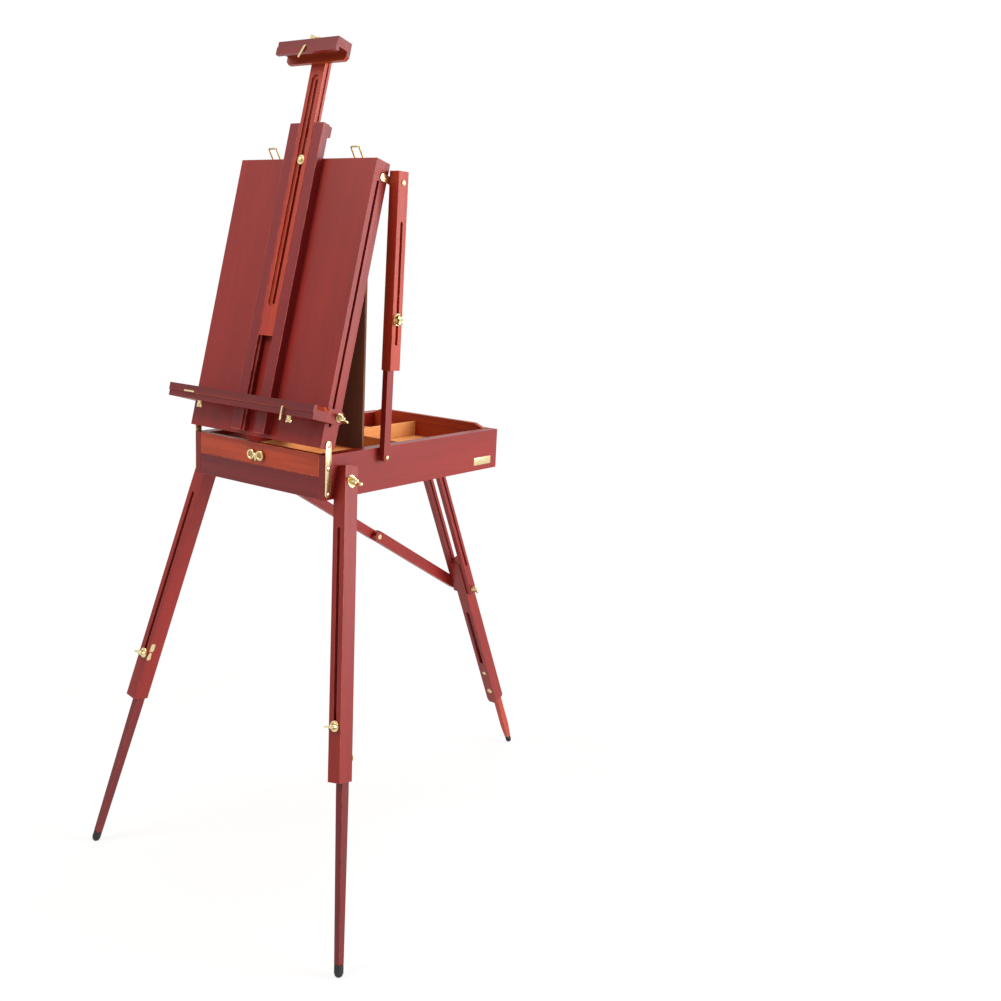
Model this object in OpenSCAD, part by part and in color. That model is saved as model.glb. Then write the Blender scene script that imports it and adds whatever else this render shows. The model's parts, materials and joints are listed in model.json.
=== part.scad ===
// Folding wooden easel with a paint box, a tilting lid, a sliding mast and three telescoping legs.
// Millimetres, +Z up, origin on the floor under the middle of the object.

/* [Box] */
// Length of the box from front to rear
box_l = 520; // [500:5:540]
// Width of the box and the lid
box_w = 350; // [330:5:370]
// Height of the box
box_h = 82; // [80:1:88]
// Thickness of the side boards
side_t = 14; // [13:0.5:15]
// Thickness of the front rail, the rear wall and the lid's end rails
end_t = 12; // [11:0.5:13]
// Height of the front rail under the drawer
rail_h = 41; // [40:0.5:43]
// Thickness of the panel under the drawer
mid_t = 3; // [2:0.5:3.5]
// Height of the cut-out in the rear wall for the rear leg
notch_h = 26; // [24:1:30]
// Width of the brass hinge straps
strap_w = 14; // [12:1:15]
// Thickness of sheet brass
plate_t = 2; // [1.5:0.1:2.2]

/* [Drawer] */
// Thickness of the drawer's front
drawer_front_t = 12; // [10:1:14]
// Thickness of the drawer's sides
drawer_side_t = 8; // [7:0.5:9]
// Thickness of the drawer's bottom
drawer_bottom_t = 3; // [2:0.5:4]
// Thickness of the drawer's rear wall
drawer_back_t = 10; // [8:1:11]
// Rise of the drawer's rear wall above the box
drawer_back_rise = 10; // [8:1:12]
// Width of the cut corners on the drawer's rear wall
back_corner = 21; // [15:1:26]
// Thickness of the dividers
divider_t = 5; // [4:0.5:6]
// Place of the lengthwise divider to the left of the middle
divider_x = 30; // [20:5:45]
// Place of the first cross divider on the left behind the box's front
divider_left_1 = 181; // [150:1:200]
// Place of the second cross divider on the left
divider_left_2 = 343; // [300:1:380]
// Place of the cross divider on the right
divider_right = 252; // [200:1:300]

/* [Palette] */
// Thickness of the palette
palette_t = 5; // [4:0.5:5.5]
// Length of the palette
palette_l = 366; // [340:2:368]
// Place of the palette's rear face behind the box's front
palette_y = 126.5; // [122:0.5:132]

/* [Lid] */
// Depth of the lid from its canvas face to its rear edge
lid_t = 36; // [34:1:40]
// Thickness of the lid's panel
lid_panel_t = 7; // [6:0.5:9]
// Angle of the lid behind the vertical
lid_lean = 14.4; // [12:0.2:18]
// Height of the lid's pivot above its lower end
hinge_in = 8; // [7.5:0.5:9]
// Width of the groove along the lid's sides
groove_w = 6; // [5.8:0.1:7]
// Depth of the groove
groove_deep = 7; // [6:0.5:8]
// Distance of the groove behind the canvas face
groove_back = 13.5; // [12:0.5:15]

/* [Mast] */
// Width of each fixed mast rail
mast_rail_w = 25; // [22:1:28]
// Thickness of the mast
mast_t = 16; // [14:0.5:18]
// Width of the channel between the mast rails
channel_w = 37; // [35:1:41]
// Length of the mast rails above the lid
mast_over = 62; // [60:1:80]
// Length of the sliding mast
slider_l = 537; // [530:1:545]
// Height of the sliding mast's foot above the lid's lower end
slider_low = 185; // [180:1:190]
// Width of the slots in the mast, the legs and the arms
slot_w = 6.6; // [6.4:0.1:8]
// Width of the head
head_w = 153; // [140:1:170]
// Depth of the head and the ledge mouldings
moulding_d = 37; // [34:1:40]
// Height of the mouldings
moulding_h = 25; // [24:1:28]
// Height of the set-back edge beside the mouldings' lips
moulding_top = 11; // [9:0.5:12]
// Thickness of the mouldings' lips and rear bars
moulding_lip = 8; // [7:0.5:9]
// Depth of the mouldings' troughs
moulding_deep = 8; // [6:0.5:9]
// Reach of the head's rear bar below its lip
head_bar = 7; // [6:0.5:9]
// Length of the bent keepers
keeper_l = 24; // [20:1:28]

/* [Ledge] */
// Width of the ledge's blocks beside the lid
ledge_end_w = 17.7; // [15:0.1:20]
// Height of the ledge above the lid's lower end
ledge_low = 46; // [44:1:60]
// Place of the ledge's keepers and their clamp screws from the middle
keeper_x = 120; // [100:5:140]

/* [Arms] */
// Thickness of the lower rods
rod_t = 12; // [10:0.5:12]
// Width of the lower rods
rod_w = 17; // [15:0.5:18]
// Wall of the upper channel beside the rod
arm_wall = 4.2; // [3.5:0.1:5]
// Thickness of the channel's slotted web
arm_web = 10; // [8:0.5:11]
// Length of the upper channel
arm_l = 354; // [350:1:356]
// Place of the arm's screw behind the box's front
arm_y = 150; // [146:1:156]
// Height of the arm's screw above the box's underside
arm_z = 64; // [62:0.5:65]

/* [Front legs] */
// Width of the legs
leg_w = 28; // [26:1:30]
// Depth of the legs from front to rear
leg_d = 33; // [31:0.5:34]
// Thickness of the legs' flanges
leg_flange = 6; // [5:0.5:6.5]
// Outward splay of the legs
splay = 11.35; // [9:0.1:12]
// Forward lean of the legs
leg_lean = 12.2; // [10:0.1:14]
// Height of the leg's head above its bolt
leg_head = 28; // [24:1:28]
// Distance of the bevel's lower end below the bolt
knee = 30; // [28:1:34]
// Length of the channelled part below the bolt
leg_low = 535; // [525:1:545]
// Distance from the bolt to the tip of the foot
leg_reach = 874; // [865:1:885]
// Depth of the extension
ext_d = 18; // [16:0.5:18.5]

/* [Rear leg] */
// Angle of the rear leg behind the vertical
rear_lean = 24.87; // [23:0.1:26]
// Thickness of the rear leg's rails
rear_rail_t = 12; // [11:0.5:13]
// Width of the rear leg's rails from front to rear
rear_rail_w = 20; // [18:0.5:21]
// Length of the rails
rear_rail_l = 400; // [398:1:402]
// Width of the sliding block
block_w = 28; // [26:0.5:30]
// Depth of the sliding block
block_d = 29; // [27:0.5:30]
// Width of the rear extension
rear_ext_w = 14; // [12:0.5:15]
// Thickness of the brace's links
link_t = 12; // [10:0.5:12]
// Height of the brace's upper link
link_h = 20; // [18:1:22]
// Length of the brace's upper link between its pivots
link_l = 364; // [360:1:368]

/* [Hidden] */
$fn = 48;

wood = [0.58, 0.19, 0.16];
warm_wood = [0.66, 0.29, 0.16];
tan_wood = [0.80, 0.52, 0.30];
brown_wood = [0.45, 0.28, 0.20];
dark_wood = [0.36, 0.12, 0.12];
brass = [0.88, 0.79, 0.58];
rubber = [0.06, 0.06, 0.06];

gap = 0.3;      // clearance between faces that move or seat
fit = 0.05;     // radial clearance of a running pin
past = 1;       // overshoot of a cut beyond the face that it opens
screw_d = 6;
pin_d = 5;

side_x = box_w / 2;
in_x = side_x - side_t;
hinge_y = hinge_in;
hinge_z = box_h + gap + lid_t / 2;
mid_low = rail_h - mid_t;
brass_x = side_x + gap;
strap_low = 3.6;
strap_screw = 24;   // middle screw of the strap below the box's top
screw_head = 8;
screw_proud = 1.2;

// Front legs
leg_y = 46;
leg_z = 29.5;
washer_t = 1.6;
washer_d = 32;
washer_proud = 0.5;
leg_x = side_x + washer_proud + gap;
bolt_hole_d = 12;
bolt_up = knee * cos(splay);
foot_r = 8.5;
foot_flat = 0.5;
ext_w = leg_w - 2 * leg_flange - 2 * 0.4;
web_t = leg_d - ext_d - 2 * gap;
ext_y0 = -leg_d / 2 + web_t + gap;
ext_y = ext_y0 + ext_d / 2;
foot_z = -(leg_reach - foot_r - knee);
foot_drop = leg_w / 2 * sin(splay) + foot_z * cos(splay) - knee;
stand_h = foot_r - foot_flat - leg_z + ext_y * sin(leg_lean) - foot_drop * cos(leg_lean);
leg_slot_top = 83;
leg_slot_low = 442;
leg_solid = 60;
leg_plate_d = 17;
leg_plate_in = 7;   // keeper plate's middle from the leg's outer side
leg_plate_z = knee - leg_low + 41;
nut_s = leg_slot_low - 6;
ext_top = nut_s - 17;
ext_taper = leg_low + 25;
head_top = bolt_up + leg_head;
foot_up = 14;       // height of the rubber tip's sleeve
shoulder = foot_z + foot_up;
ext_tip_w = 12.5;
tenon_w = 10;

// Rear leg
rear_y = box_l - end_t - rear_rail_w / 2 - 0.8;
rear_z = 18;
rear_pin_d = 8;
rear_foot_r = 7;
hanger_t = 12;      // blocks under the box that carry the rear leg and the brace
hanger_half = 14;
hanger_low = 4;
rail_in = block_w / 2 + gap;
rail_out = rail_in + rear_rail_t;
block_top = 312;
block_low = 756;
block_y0 = -13;
rear_ext_d = 16;
block_web = block_d - rear_ext_d - 2 * gap;
block_travel = 297;
guide_s = block_top + 10;
rear_ext_y0 = block_y0 + block_web + gap;
rear_ext_y = rear_ext_y0 + rear_ext_d / 2;
rear_foot_s = (rear_z + rear_ext_y * sin(rear_lean) + stand_h - rear_foot_r + foot_flat) / cos(rear_lean);
rear_slot_top = 459;
rear_slot_low = 624;
rear_ext_top = 600;
rear_solid = 440;
rear_foot_up = 12;
rear_shoulder = -rear_foot_s + rear_foot_up;
rear_taper = 40;
rear_tip_w = 11;
rear_tenon_w = 8;

// Brace
brace_y = 68;
brace_z = 14;
brace_rail_s = 385;
brace_end_y = rear_y + brace_rail_s * sin(rear_lean);
brace_end_z = rear_z - brace_rail_s * cos(rear_lean);
brace_span = norm([brace_end_y - brace_y, brace_end_z - brace_z]);
brace_slope = atan2(brace_z - brace_end_z, brace_end_y - brace_y);
lower_l = brace_span - link_l;
lower_h = link_h + 4;
lower_x = rail_out + 0.5;
upper_x = lower_x + link_t + gap;
anchor_x = upper_x + link_t + gap;
joint_head = 11;
head_deep = 3;
brace_past = 14;    // lower link's reach beyond its joint
brace_corner = 8;   // cut corners of its upper end

// Middle of the object from front to rear
front_reach = leg_y + ext_y * cos(leg_lean) + foot_drop * sin(leg_lean) - foot_r;
rear_reach = rear_y + rear_ext_y * cos(rear_lean) + rear_foot_s * sin(rear_lean) + rear_foot_r;
center_y = (front_reach + rear_reach) / 2;

// Drawer
drawer_x = in_x - gap;
drawer_in = drawer_x - drawer_side_t;
drawer_z = rail_h + gap;
drawer_floor = drawer_z + drawer_bottom_t;
drawer_l = box_l - end_t - 4;
palette_z = box_h - 0.7 - palette_t;
divider_top = palette_z - 0.8;
catch_ring = 22;
catch_wire = 3.5;
catch_x = 15;
catch_z = (drawer_z + box_h) / 2 - 2;
thumb_d = 30;
thumb_x = 80;       // thumb hole from the palette's middle
thumb_in = 60;      // thumb hole below the palette's upper edge

// Mast and mouldings
mast_half = channel_w / 2 + mast_rail_w;
slider_w = channel_w - 1;
tongue = 2.8;
tongue_t = 4;
slot_low = slider_low + 59;
slot_high = slider_low + slider_l - 57;
recess_w = 20;
recess_deep = 4;
mast_bolt_s = box_l - end_t / 2;
cleat_h = 20;
cleat_t = 7;
cleat_in = 2;
moulding_y = mast_t + gap;
moulding_step = 2;  // set-back of the edge beside the lip
bar_corner = 6;     // cut corners of the rear bar
rail_low = 6;
head_low = slider_low + slider_l - moulding_h;
keeper_d = 3.6;
keeper_z = 11.6;    // keeper's bore above the lip's edge
keeper_off = keeper_d / 2 + 1;
keeper_y = moulding_y + moulding_d + keeper_off;
keeper_in = moulding_d / 2 + 4;
clamp_deep = moulding_h - keeper_z - keeper_d / 2 - gap;
ledge_w = 2 * (brass_x + ledge_end_w);
groove_low = 40;
groove_high = box_l - 37;
stud_s = ledge_low + moulding_h / 2;
stud_d = groove_w - 2 * gap;

// Arms
bracket_s = box_l - 28;
bracket_y = lid_t + 16;
bracket_w = 14;
bracket_in = 20;    // the bracket's plate on the lid's side
arm_top_y = hinge_y + (bracket_y - lid_t / 2) * cos(lid_lean) + (bracket_s - hinge_in) * sin(lid_lean);
arm_top_z = hinge_z - (bracket_y - lid_t / 2) * sin(lid_lean) + (bracket_s - hinge_in) * cos(lid_lean);
arm_span = norm([arm_top_y - arm_y, arm_top_z - arm_z]);
arm_tip = atan2(arm_top_y - arm_y, arm_top_z - arm_z);
rod_x = side_x + plate_t + 0.7;
web_x = rod_x + rod_t + gap;
arm_out = web_x + arm_web;
channel_x = rod_x + gap;
channel_half = rod_w / 2 + gap + arm_wall;
channel_top = arm_span + 20;
channel_low = channel_top - arm_l;
arm_solid = 45;
arm_nut_up = 93;    // nut above the channel's lower end
arm_nut_s = channel_low + arm_nut_up;
arm_slot_in = 46;   // solid ends of the channel's slotted web
arm_slot_end = 87;
arm_slot_low = channel_low + arm_slot_in;
arm_slot_high = channel_top - arm_slot_end;

// Handle and bails
handle_y = box_l + 10;
handle_z = box_h - 18;
handle_half = 65;   // the handle's ends from the middle
handle_r = 89;
handle_t = 16;
handle_up = sqrt(pow(handle_r, 2) - pow(handle_half, 2));
handle_end = 4;     // reach of the handle above its pins
lug_x = sqrt(pow(handle_r + handle_t / 2, 2) - pow(handle_up - handle_end, 2)) + gap;
lug_w = 8;
lug_d = 10;
lug_plate = 5;      // reach of the lug's plate beyond the lug
bail_in = 68;       // bails from the box's sides
bail_x = side_x - bail_in;
latch_w = 16;
latch_h = 20;
latch_low = 28;     // latch plate's lower edge below the box's top
latch_t = 1.6;
hook_w = 12;
hook_out = 8.4;
hook_h = 3;
hook_down = 7;      // hook's lower edge below its top
wire_d = 3;
bail_w = 23;
bail_l = 28;
bail_s = box_l + 4.5;
bail_y = lid_t - 7;

// ---- helpers ----
module slab(lo, hi) translate(lo) cube(hi - lo);
module rod_along_x(d, x0, x1) translate([x0, 0, 0]) rotate([0, 90, 0]) cylinder(d = d, h = x1 - x0);
module rod_along_y(d, y0, y1) translate([0, y0, 0]) rotate([-90, 0, 0]) cylinder(d = d, h = y1 - y0);
module rod_along_z(d, z0, z1) translate([0, 0, z0]) cylinder(d = d, h = z1 - z0);
module on_side(side) {
  if (side < 0) mirror([1, 0, 0]) children();
  else children();
}
module in_box() translate([0, -center_y, stand_h]) children();
module in_lid()
  in_box() translate([0, hinge_y, hinge_z]) rotate([-lid_lean, 0, 0]) translate([0, -lid_t / 2, -hinge_in]) children();
module in_fold(side) in_box() on_side(side) translate([leg_x, leg_y, leg_z]) rotate([-leg_lean, 0, 0]) children();
module in_leg(side) in_fold(side) translate([0, 0, -knee]) rotate([0, -splay, 0]) children();
module in_rear() in_box() translate([0, rear_y, rear_z]) rotate([rear_lean, 0, 0]) children();
module in_brace() in_box() translate([0, brace_y, brace_z]) rotate([-brace_slope, 0, 0]) children();
module in_arm(side) in_box() on_side(side) translate([0, arm_y, arm_z]) rotate([-arm_tip, 0, 0]) children();

// Outline in X and Z drawn through from y0 to y1
module plate_xz(points, y0, y1) translate([0, y1, 0]) rotate([90, 0, 0]) linear_extrude(y1 - y0) polygon(points);
// Outline in Y and Z drawn through from x0 to x1
module plate_yz(points, x0, x1)
  translate([x0, 0, 0]) rotate([90, 0, 90]) linear_extrude(x1 - x0) polygon(points);

// Wing nut on +Z with its washer's face at 0
module wing_nut(washer = 20, hub = 12, hub_h = 9, span = 30) {
  wing_t = 2.6;
  washer_h = 1.5;
  lobe = 11;
  cylinder(d = washer, h = washer_h);
  cylinder(d = hub, h = hub_h);
  for (s = [-1, 1]) {
    translate([s * (span - lobe) / 2, wing_t / 2, hub_h]) rotate([90, 0, 0]) cylinder(d = lobe, h = wing_t);
    slab([s < 0 ? -(span - lobe) / 2 : 0, -wing_t / 2, hub_h - 5], [s < 0 ? 0 : (span - lobe) / 2, wing_t / 2, hub_h]);
  }
}

// Slot along Z from z0 to z1, cut through from y0 to y1
module slot_y(w, z0, z1, y0, y1) {
  slab([-w / 2, y0, z0 + w / 2], [w / 2, y1, z1 - w / 2]);
  for (z = [z0 + w / 2, z1 - w / 2]) translate([0, 0, z]) rod_along_y(w, y0, y1);
}

// Slot along Z from z0 to z1, cut through from x0 to x1
module slot_x(w, z0, z1, x0, x1) {
  slab([x0, -w / 2, z0 + w / 2], [x1, w / 2, z1 - w / 2]);
  for (z = [z0 + w / 2, z1 - w / 2]) translate([0, 0, z]) rod_along_x(w, x0, x1);
}

// Moulding with its lip and rear bar pointing down: its rear face at y = 0, its lip's edge at z = 0.
// Each keeper's bore runs back from the lip and meets its clamp screw's bore.
module moulding(w, bar, keepers, clamp) difference() {
  plate_yz([
    [0, -bar], [0, moulding_h], [moulding_step - moulding_d, moulding_h],
    [moulding_step - moulding_d, moulding_h - moulding_top], [-moulding_d, moulding_h - moulding_top],
    [-moulding_d, 0], [moulding_lip - moulding_d, 0], [moulding_lip - moulding_d, moulding_deep],
    [-moulding_lip, moulding_deep], [-moulding_lip, -bar]
  ], -w / 2, w / 2);
  for (side = [-1, 1]) on_side(side) plate_xz([
    [w / 2 - bar_corner - past, -bar - past], [w / 2 + past, -bar - past], [w / 2 + past, bar_corner - bar + past]
  ], -moulding_lip - past, past);
  for (x = keepers) {
    translate([x, -moulding_d, keeper_z]) rod_along_y(keeper_d + 2 * fit, -past, keeper_in + gap);
    translate([x, -moulding_d / 2, 0]) rod_along_z(clamp + 2 * fit, keeper_z, moulding_h + past);
  }
}

// Bent keeper rod with its bend at the origin: the short leg runs back into its bore, the long leg hangs down
module keeper() {
  rod_along_y(keeper_d, 0, keeper_off + keeper_in);
  rod_along_z(keeper_d, -keeper_l, 0);
  for (z = [-keeper_l, 0]) translate([0, 0, z]) sphere(d = keeper_d);
}

// ---- box ----
module box_sides() color(wood) in_box() for (side = [-1, 1]) on_side(side) difference() {
  slab([in_x, 0, 0], [side_x, box_l, box_h]);
  translate([0, leg_y, leg_z]) rod_along_x(bolt_hole_d, in_x - past, side_x + past);
  translate([0, leg_y, leg_z]) rod_along_x(washer_d + 0.4, side_x - washer_t + washer_proud - gap, side_x + past);
  translate([0, arm_y, arm_z]) rod_along_x(screw_d + 2 * fit, side_x - 9, side_x + past);
}

module box_front_rail() color(dark_wood) in_box() slab([-in_x, 0, 0], [in_x, end_t, rail_h]);

module box_rear_wall() color(wood) in_box() difference() {
  slab([-in_x, box_l - end_t, 0], [in_x, box_l, box_h]);
  slab([-rail_out - link_t - 2, box_l - end_t - past, -past], [rail_out + link_t + 2, box_l + past, notch_h]);
}

module box_mid_panel() color(tan_wood) in_box()
  slab([-in_x, end_t, mid_low], [in_x, box_l - end_t, rail_h]);

module box_side_brass() color(brass) in_box() for (side = [-1, 1]) on_side(side) {
  slab([brass_x, hinge_y - strap_w / 2, strap_low + strap_w / 2], [brass_x + plate_t, hinge_y + strap_w / 2, hinge_z]);
  for (z = [strap_low + strap_w / 2, hinge_z]) translate([0, hinge_y, z]) rod_along_x(strap_w, brass_x, brass_x + plate_t);
  for (z = [strap_low + strap_w / 2, box_h - strap_screw, hinge_z])
    translate([0, hinge_y, z]) rod_along_x(screw_head, brass_x + plate_t, brass_x + plate_t + screw_proud);
  translate([0, hinge_y, hinge_z]) rod_along_x(pin_d, in_x + 5, brass_x);
  translate([0, arm_y, arm_z]) rod_along_x(screw_d, side_x - 8, rod_x + rod_t + gap);
  translate([0, arm_y, arm_z]) rod_along_x(14, brass_x, rod_x - gap);
  translate([0, arm_y, arm_z]) rod_along_x(10, rod_x + rod_t + gap, rod_x + rod_t + gap + 3);
}

module box_rear_brass() color(brass) in_box() for (side = [-1, 1]) on_side(side) {
  difference() {
    union() {
      slab([lug_x, box_l, handle_z - lug_d], [lug_x + lug_w + lug_plate, box_l + plate_t, handle_z + lug_d]);
      slab([lug_x, box_l + plate_t, handle_z - lug_d / 2], [lug_x + lug_w, handle_y, handle_z + lug_d / 2]);
      translate([0, handle_y, handle_z]) rod_along_x(lug_d, lug_x, lug_x + lug_w);
    }
    translate([0, handle_y, handle_z]) rod_along_x(pin_d + 2 * fit, lug_x - past, lug_x + lug_w + past);
  }
  translate([bail_x, box_l, box_h - latch_low]) {
    slab([-latch_w / 2, 0, 0], [latch_w / 2, latch_t, latch_h]);
    slab([-hook_w / 2, latch_t, latch_h - hook_down], [hook_w / 2, hook_out, latch_h - hook_down + hook_h]);
    slab([-hook_w / 2, hook_out - latch_t, latch_h - hook_down - hook_h - 1], [hook_w / 2, hook_out, latch_h - hook_down]);
  }
}

module underside_blocks() color(wood) in_box() {
  for (side = [-1, 1]) on_side(side) difference() {
    slab([rail_out + gap, rear_y - hanger_half, hanger_low], [rail_out + gap + hanger_t, box_l - end_t, mid_low]);
    translate([0, rear_y, rear_z]) rod_along_x(rear_pin_d + 2 * fit, rail_out, rail_out + hanger_t + past);
  }
  difference() {
    slab([-anchor_x - hanger_t, brace_y - hanger_half, hanger_low / 2], [-anchor_x, brace_y + hanger_half, mid_low]);
    translate([0, brace_y, brace_z]) rod_along_x(screw_d + 2 * fit, -anchor_x - hanger_t - past, -anchor_x + past);
  }
}

module underside_pins() color(brass) in_box() {
  translate([0, rear_y, rear_z]) rod_along_x(rear_pin_d, -rail_out - hanger_t, rail_out + hanger_t);
  translate([0, brace_y, brace_z]) {
    rod_along_x(screw_d, -anchor_x - hanger_t, -upper_x + gap);
    rod_along_x(11, -upper_x + gap, -upper_x + gap + 3);
  }
}

module handle() color(dark_wood) in_box() translate([0, handle_y, handle_z]) {
  intersection() {
    translate([0, 0, handle_up]) rotate([90, 0, 0])
      rotate_extrude($fn = 96) translate([handle_r, 0]) circle(d = handle_t);
    slab([-2 * handle_r, -handle_t, -handle_r], [2 * handle_r, handle_t, handle_end]);
  }
  for (side = [-1, 1]) on_side(side) rod_along_x(pin_d, handle_half, lug_x + lug_w - 1);
}

// ---- drawer ----
module drawer_front() color(warm_wood) in_box() slab([-drawer_x, 0, drawer_z], [drawer_x, drawer_front_t, box_h]);

module drawer_sides() color(wood) in_box() for (side = [-1, 1]) on_side(side)
  slab([drawer_in, drawer_front_t, drawer_z], [drawer_x, drawer_l, box_h]);

module drawer_back() color(warm_wood) in_box() plate_xz([
  [-drawer_in, drawer_z], [drawer_in, drawer_z], [drawer_in, box_h + 2], [drawer_in - back_corner, box_h + drawer_back_rise],
  [-drawer_in + back_corner, box_h + drawer_back_rise], [-drawer_in, box_h + 2]
], drawer_l - drawer_back_t, drawer_l);

module drawer_bottom() color(tan_wood) in_box()
  slab([-drawer_in, drawer_front_t, drawer_z], [drawer_in, drawer_l - drawer_back_t, drawer_floor]);

module drawer_dividers() color(tan_wood) in_box() {
  slab([-divider_x - divider_t, drawer_front_t, drawer_floor], [-divider_x, drawer_l - drawer_back_t, divider_top]);
  for (y = [divider_left_1, divider_left_2])
    slab([-drawer_in, y, drawer_floor], [-divider_x - divider_t, y + divider_t, divider_top]);
  slab([-divider_x, divider_right, drawer_floor], [drawer_in, divider_right + divider_t, divider_top]);
}

module drawer_catch() color(brass) in_box() translate([0, 0, catch_z]) {
  for (side = [-1, 1]) translate([side * catch_x, 0, 0]) difference() {
    rod_along_y(catch_ring, -6, -3);
    rod_along_y(catch_ring - 2 * catch_wire, -6 - past, -3 + past);
  }
  rod_along_y(9, -8, -gap);
}

module palette() color(brown_wood) in_box() difference() {
  slab([-drawer_in + 0.5, palette_y - palette_t, palette_z], [drawer_in - 0.5, palette_y, palette_z + palette_l]);
  translate([-thumb_x, 0, palette_z + palette_l - thumb_in])
    rod_along_y(thumb_d, palette_y - palette_t - past, palette_y + past);
}

// ---- lid ----
// What rounds the lid's lower rear corner from x0 to x1
module lid_corner(x0, x1) difference() {
  slab([x0, lid_t - hinge_in, -past], [x1, lid_t + past, hinge_in]);
  translate([0, lid_t - hinge_in, hinge_in]) rod_along_x(2 * hinge_in, x0 - past, x1 + past);
}

module lid_panel() color(wood) in_lid() difference() {
  slab([-in_x, 0, 0], [in_x, lid_panel_t, box_l]);
  translate([0, 0, mast_bolt_s]) rod_along_y(screw_d + 2 * fit, -past, lid_panel_t + past);
}

module lid_sides() color(wood) in_lid() for (side = [-1, 1]) on_side(side) difference() {
  slab([in_x, 0, 0], [side_x, lid_t, box_l]);
  lid_corner(in_x - past, side_x + past);
  translate([side_x, groove_back, 0])
    slab([-groove_deep, -groove_w / 2, groove_low], [past, groove_w / 2, groove_high]);
  translate([0, lid_t / 2, hinge_in]) rod_along_x(pin_d + 2 * fit, in_x + 4, side_x + past);
}

module lid_end_rails() color(warm_wood) in_lid() {
  difference() {
    slab([-in_x, lid_panel_t, 0], [in_x, lid_t, end_t]);
    lid_corner(-in_x - past, in_x + past);
  }
  difference() {
    slab([-in_x, lid_panel_t, box_l - end_t], [in_x, lid_t, box_l]);
    translate([0, 0, mast_bolt_s]) rod_along_y(screw_d + 2 * fit, lid_panel_t - past, lid_t - 9);
  }
}

module mast_rails() color(wood) in_lid() {
  for (side = [-1, 1]) on_side(side) {
    slab([channel_w / 2, -mast_t, rail_low], [mast_half, 0, box_l + mast_over]);
    slab([channel_w / 2 - tongue, -mast_t / 2 - tongue_t / 2, rail_low],
      [channel_w / 2, -mast_t / 2 + tongue_t / 2, box_l + mast_over]);
  }
  translate([0, 0, box_l + mast_over - cleat_in]) slab([-mast_half, 0, -cleat_h], [mast_half, cleat_t, 0]);
}

module lid_brass() color(brass) in_lid() {
  for (side = [-1, 1]) on_side(side) {
    translate([0, 0, bracket_s])
      slab([side_x, lid_t - bracket_in, -bracket_w / 2], [brass_x + plate_t, bracket_y, bracket_w / 2]);
    translate([0, bracket_y, bracket_s]) rod_along_x(bracket_w, side_x, brass_x + plate_t);
    for (y = [5, 14]) translate([0, lid_t - bracket_in + y, bracket_s]) rod_along_x(5, brass_x, rod_x - 2 * fit);
    for (x = [bail_x - bail_w / 2 - 5.5, bail_x + bail_w / 2 + 0.5]) difference() {
      slab([x, bail_y - 4, box_l], [x + 5, bail_y + 4, bail_s + 3.5]);
      translate([0, bail_y, bail_s]) rod_along_x(wire_d + 2 * fit, x - past, x + 5 + past);
    }
  }
  translate([0, 0, mast_bolt_s]) {
    rod_along_y(screw_d, -mast_t - 3, lid_t - 10);
    rod_along_y(18, -mast_t + recess_deep - gap - 1.5, -mast_t + recess_deep - gap);
    rod_along_y(10, -mast_t - 4, -mast_t + recess_deep - gap - 1.5);
  }
}

module bail(side) color(brass) in_lid() on_side(side) translate([bail_x, bail_y, bail_s]) rotate([45, 0, 0]) {
  leg_half = (bail_w - wire_d) / 2;
  rod_along_x(wire_d, -bail_w / 2 - 5, bail_w / 2 + 5);
  for (x = [-leg_half, leg_half]) {
    translate([x, 0, 0]) rod_along_z(wire_d, 0, bail_l);
    translate([x, 0, bail_l]) sphere(d = wire_d);
  }
  translate([0, 0, bail_l]) rod_along_x(wire_d, -leg_half, leg_half);
}
module bail_left() bail(-1);
module bail_right() bail(1);

// ---- mast ----
module mast_slider() color(wood) in_lid() difference() {
  slab([-slider_w / 2, -mast_t, slider_low], [slider_w / 2, -gap, slider_low + slider_l]);
  slot_y(slot_w, slot_low, slot_high, -mast_t - past, past);
  slot_y(recess_w, slot_low - 7, slot_high + 7, -mast_t - past, -mast_t + recess_deep);
  for (side = [-1, 1]) on_side(side)
    slab([channel_w / 2 - tongue - gap, -mast_t / 2 - tongue_t / 2 - gap, slider_low - past],
      [slider_w / 2 + past, -mast_t / 2 + tongue_t / 2 + gap, slider_low + slider_l + past]);
}

module mast_head() color(wood) in_lid() translate([0, -moulding_y, head_low])
  moulding(head_w, head_bar, [0], screw_d);

module head_screw() color(brass) in_lid() translate([0, -moulding_y - moulding_d / 2, head_low + moulding_h]) {
  wing_nut(washer = 12, hub = 9, hub_h = 9, span = 20);
  rod_along_z(screw_d, -clamp_deep, 0);
}

module head_keeper() color(brass) in_lid() translate([0, -keeper_y, head_low + keeper_z]) rotate([0, 30, 0]) keeper();

// ---- ledge ----
module ledge() color(wood) in_lid() translate([0, -moulding_y, ledge_low + moulding_h]) mirror([0, 0, 1])
  moulding(ledge_w, 0, [-keeper_x, keeper_x], pin_d);

module ledge_ends() color(wood) in_lid() for (side = [-1, 1]) on_side(side) difference() {
  union() {
    slab([brass_x, -moulding_y, ledge_low], [ledge_w / 2, groove_back, ledge_low + moulding_h]);
    translate([0, groove_back, stud_s]) rod_along_x(moulding_h, brass_x, ledge_w / 2);
  }
  translate([0, groove_back, stud_s]) rod_along_x(stud_d + 2 * fit, brass_x - past, ledge_w / 2 + past);
}

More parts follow.
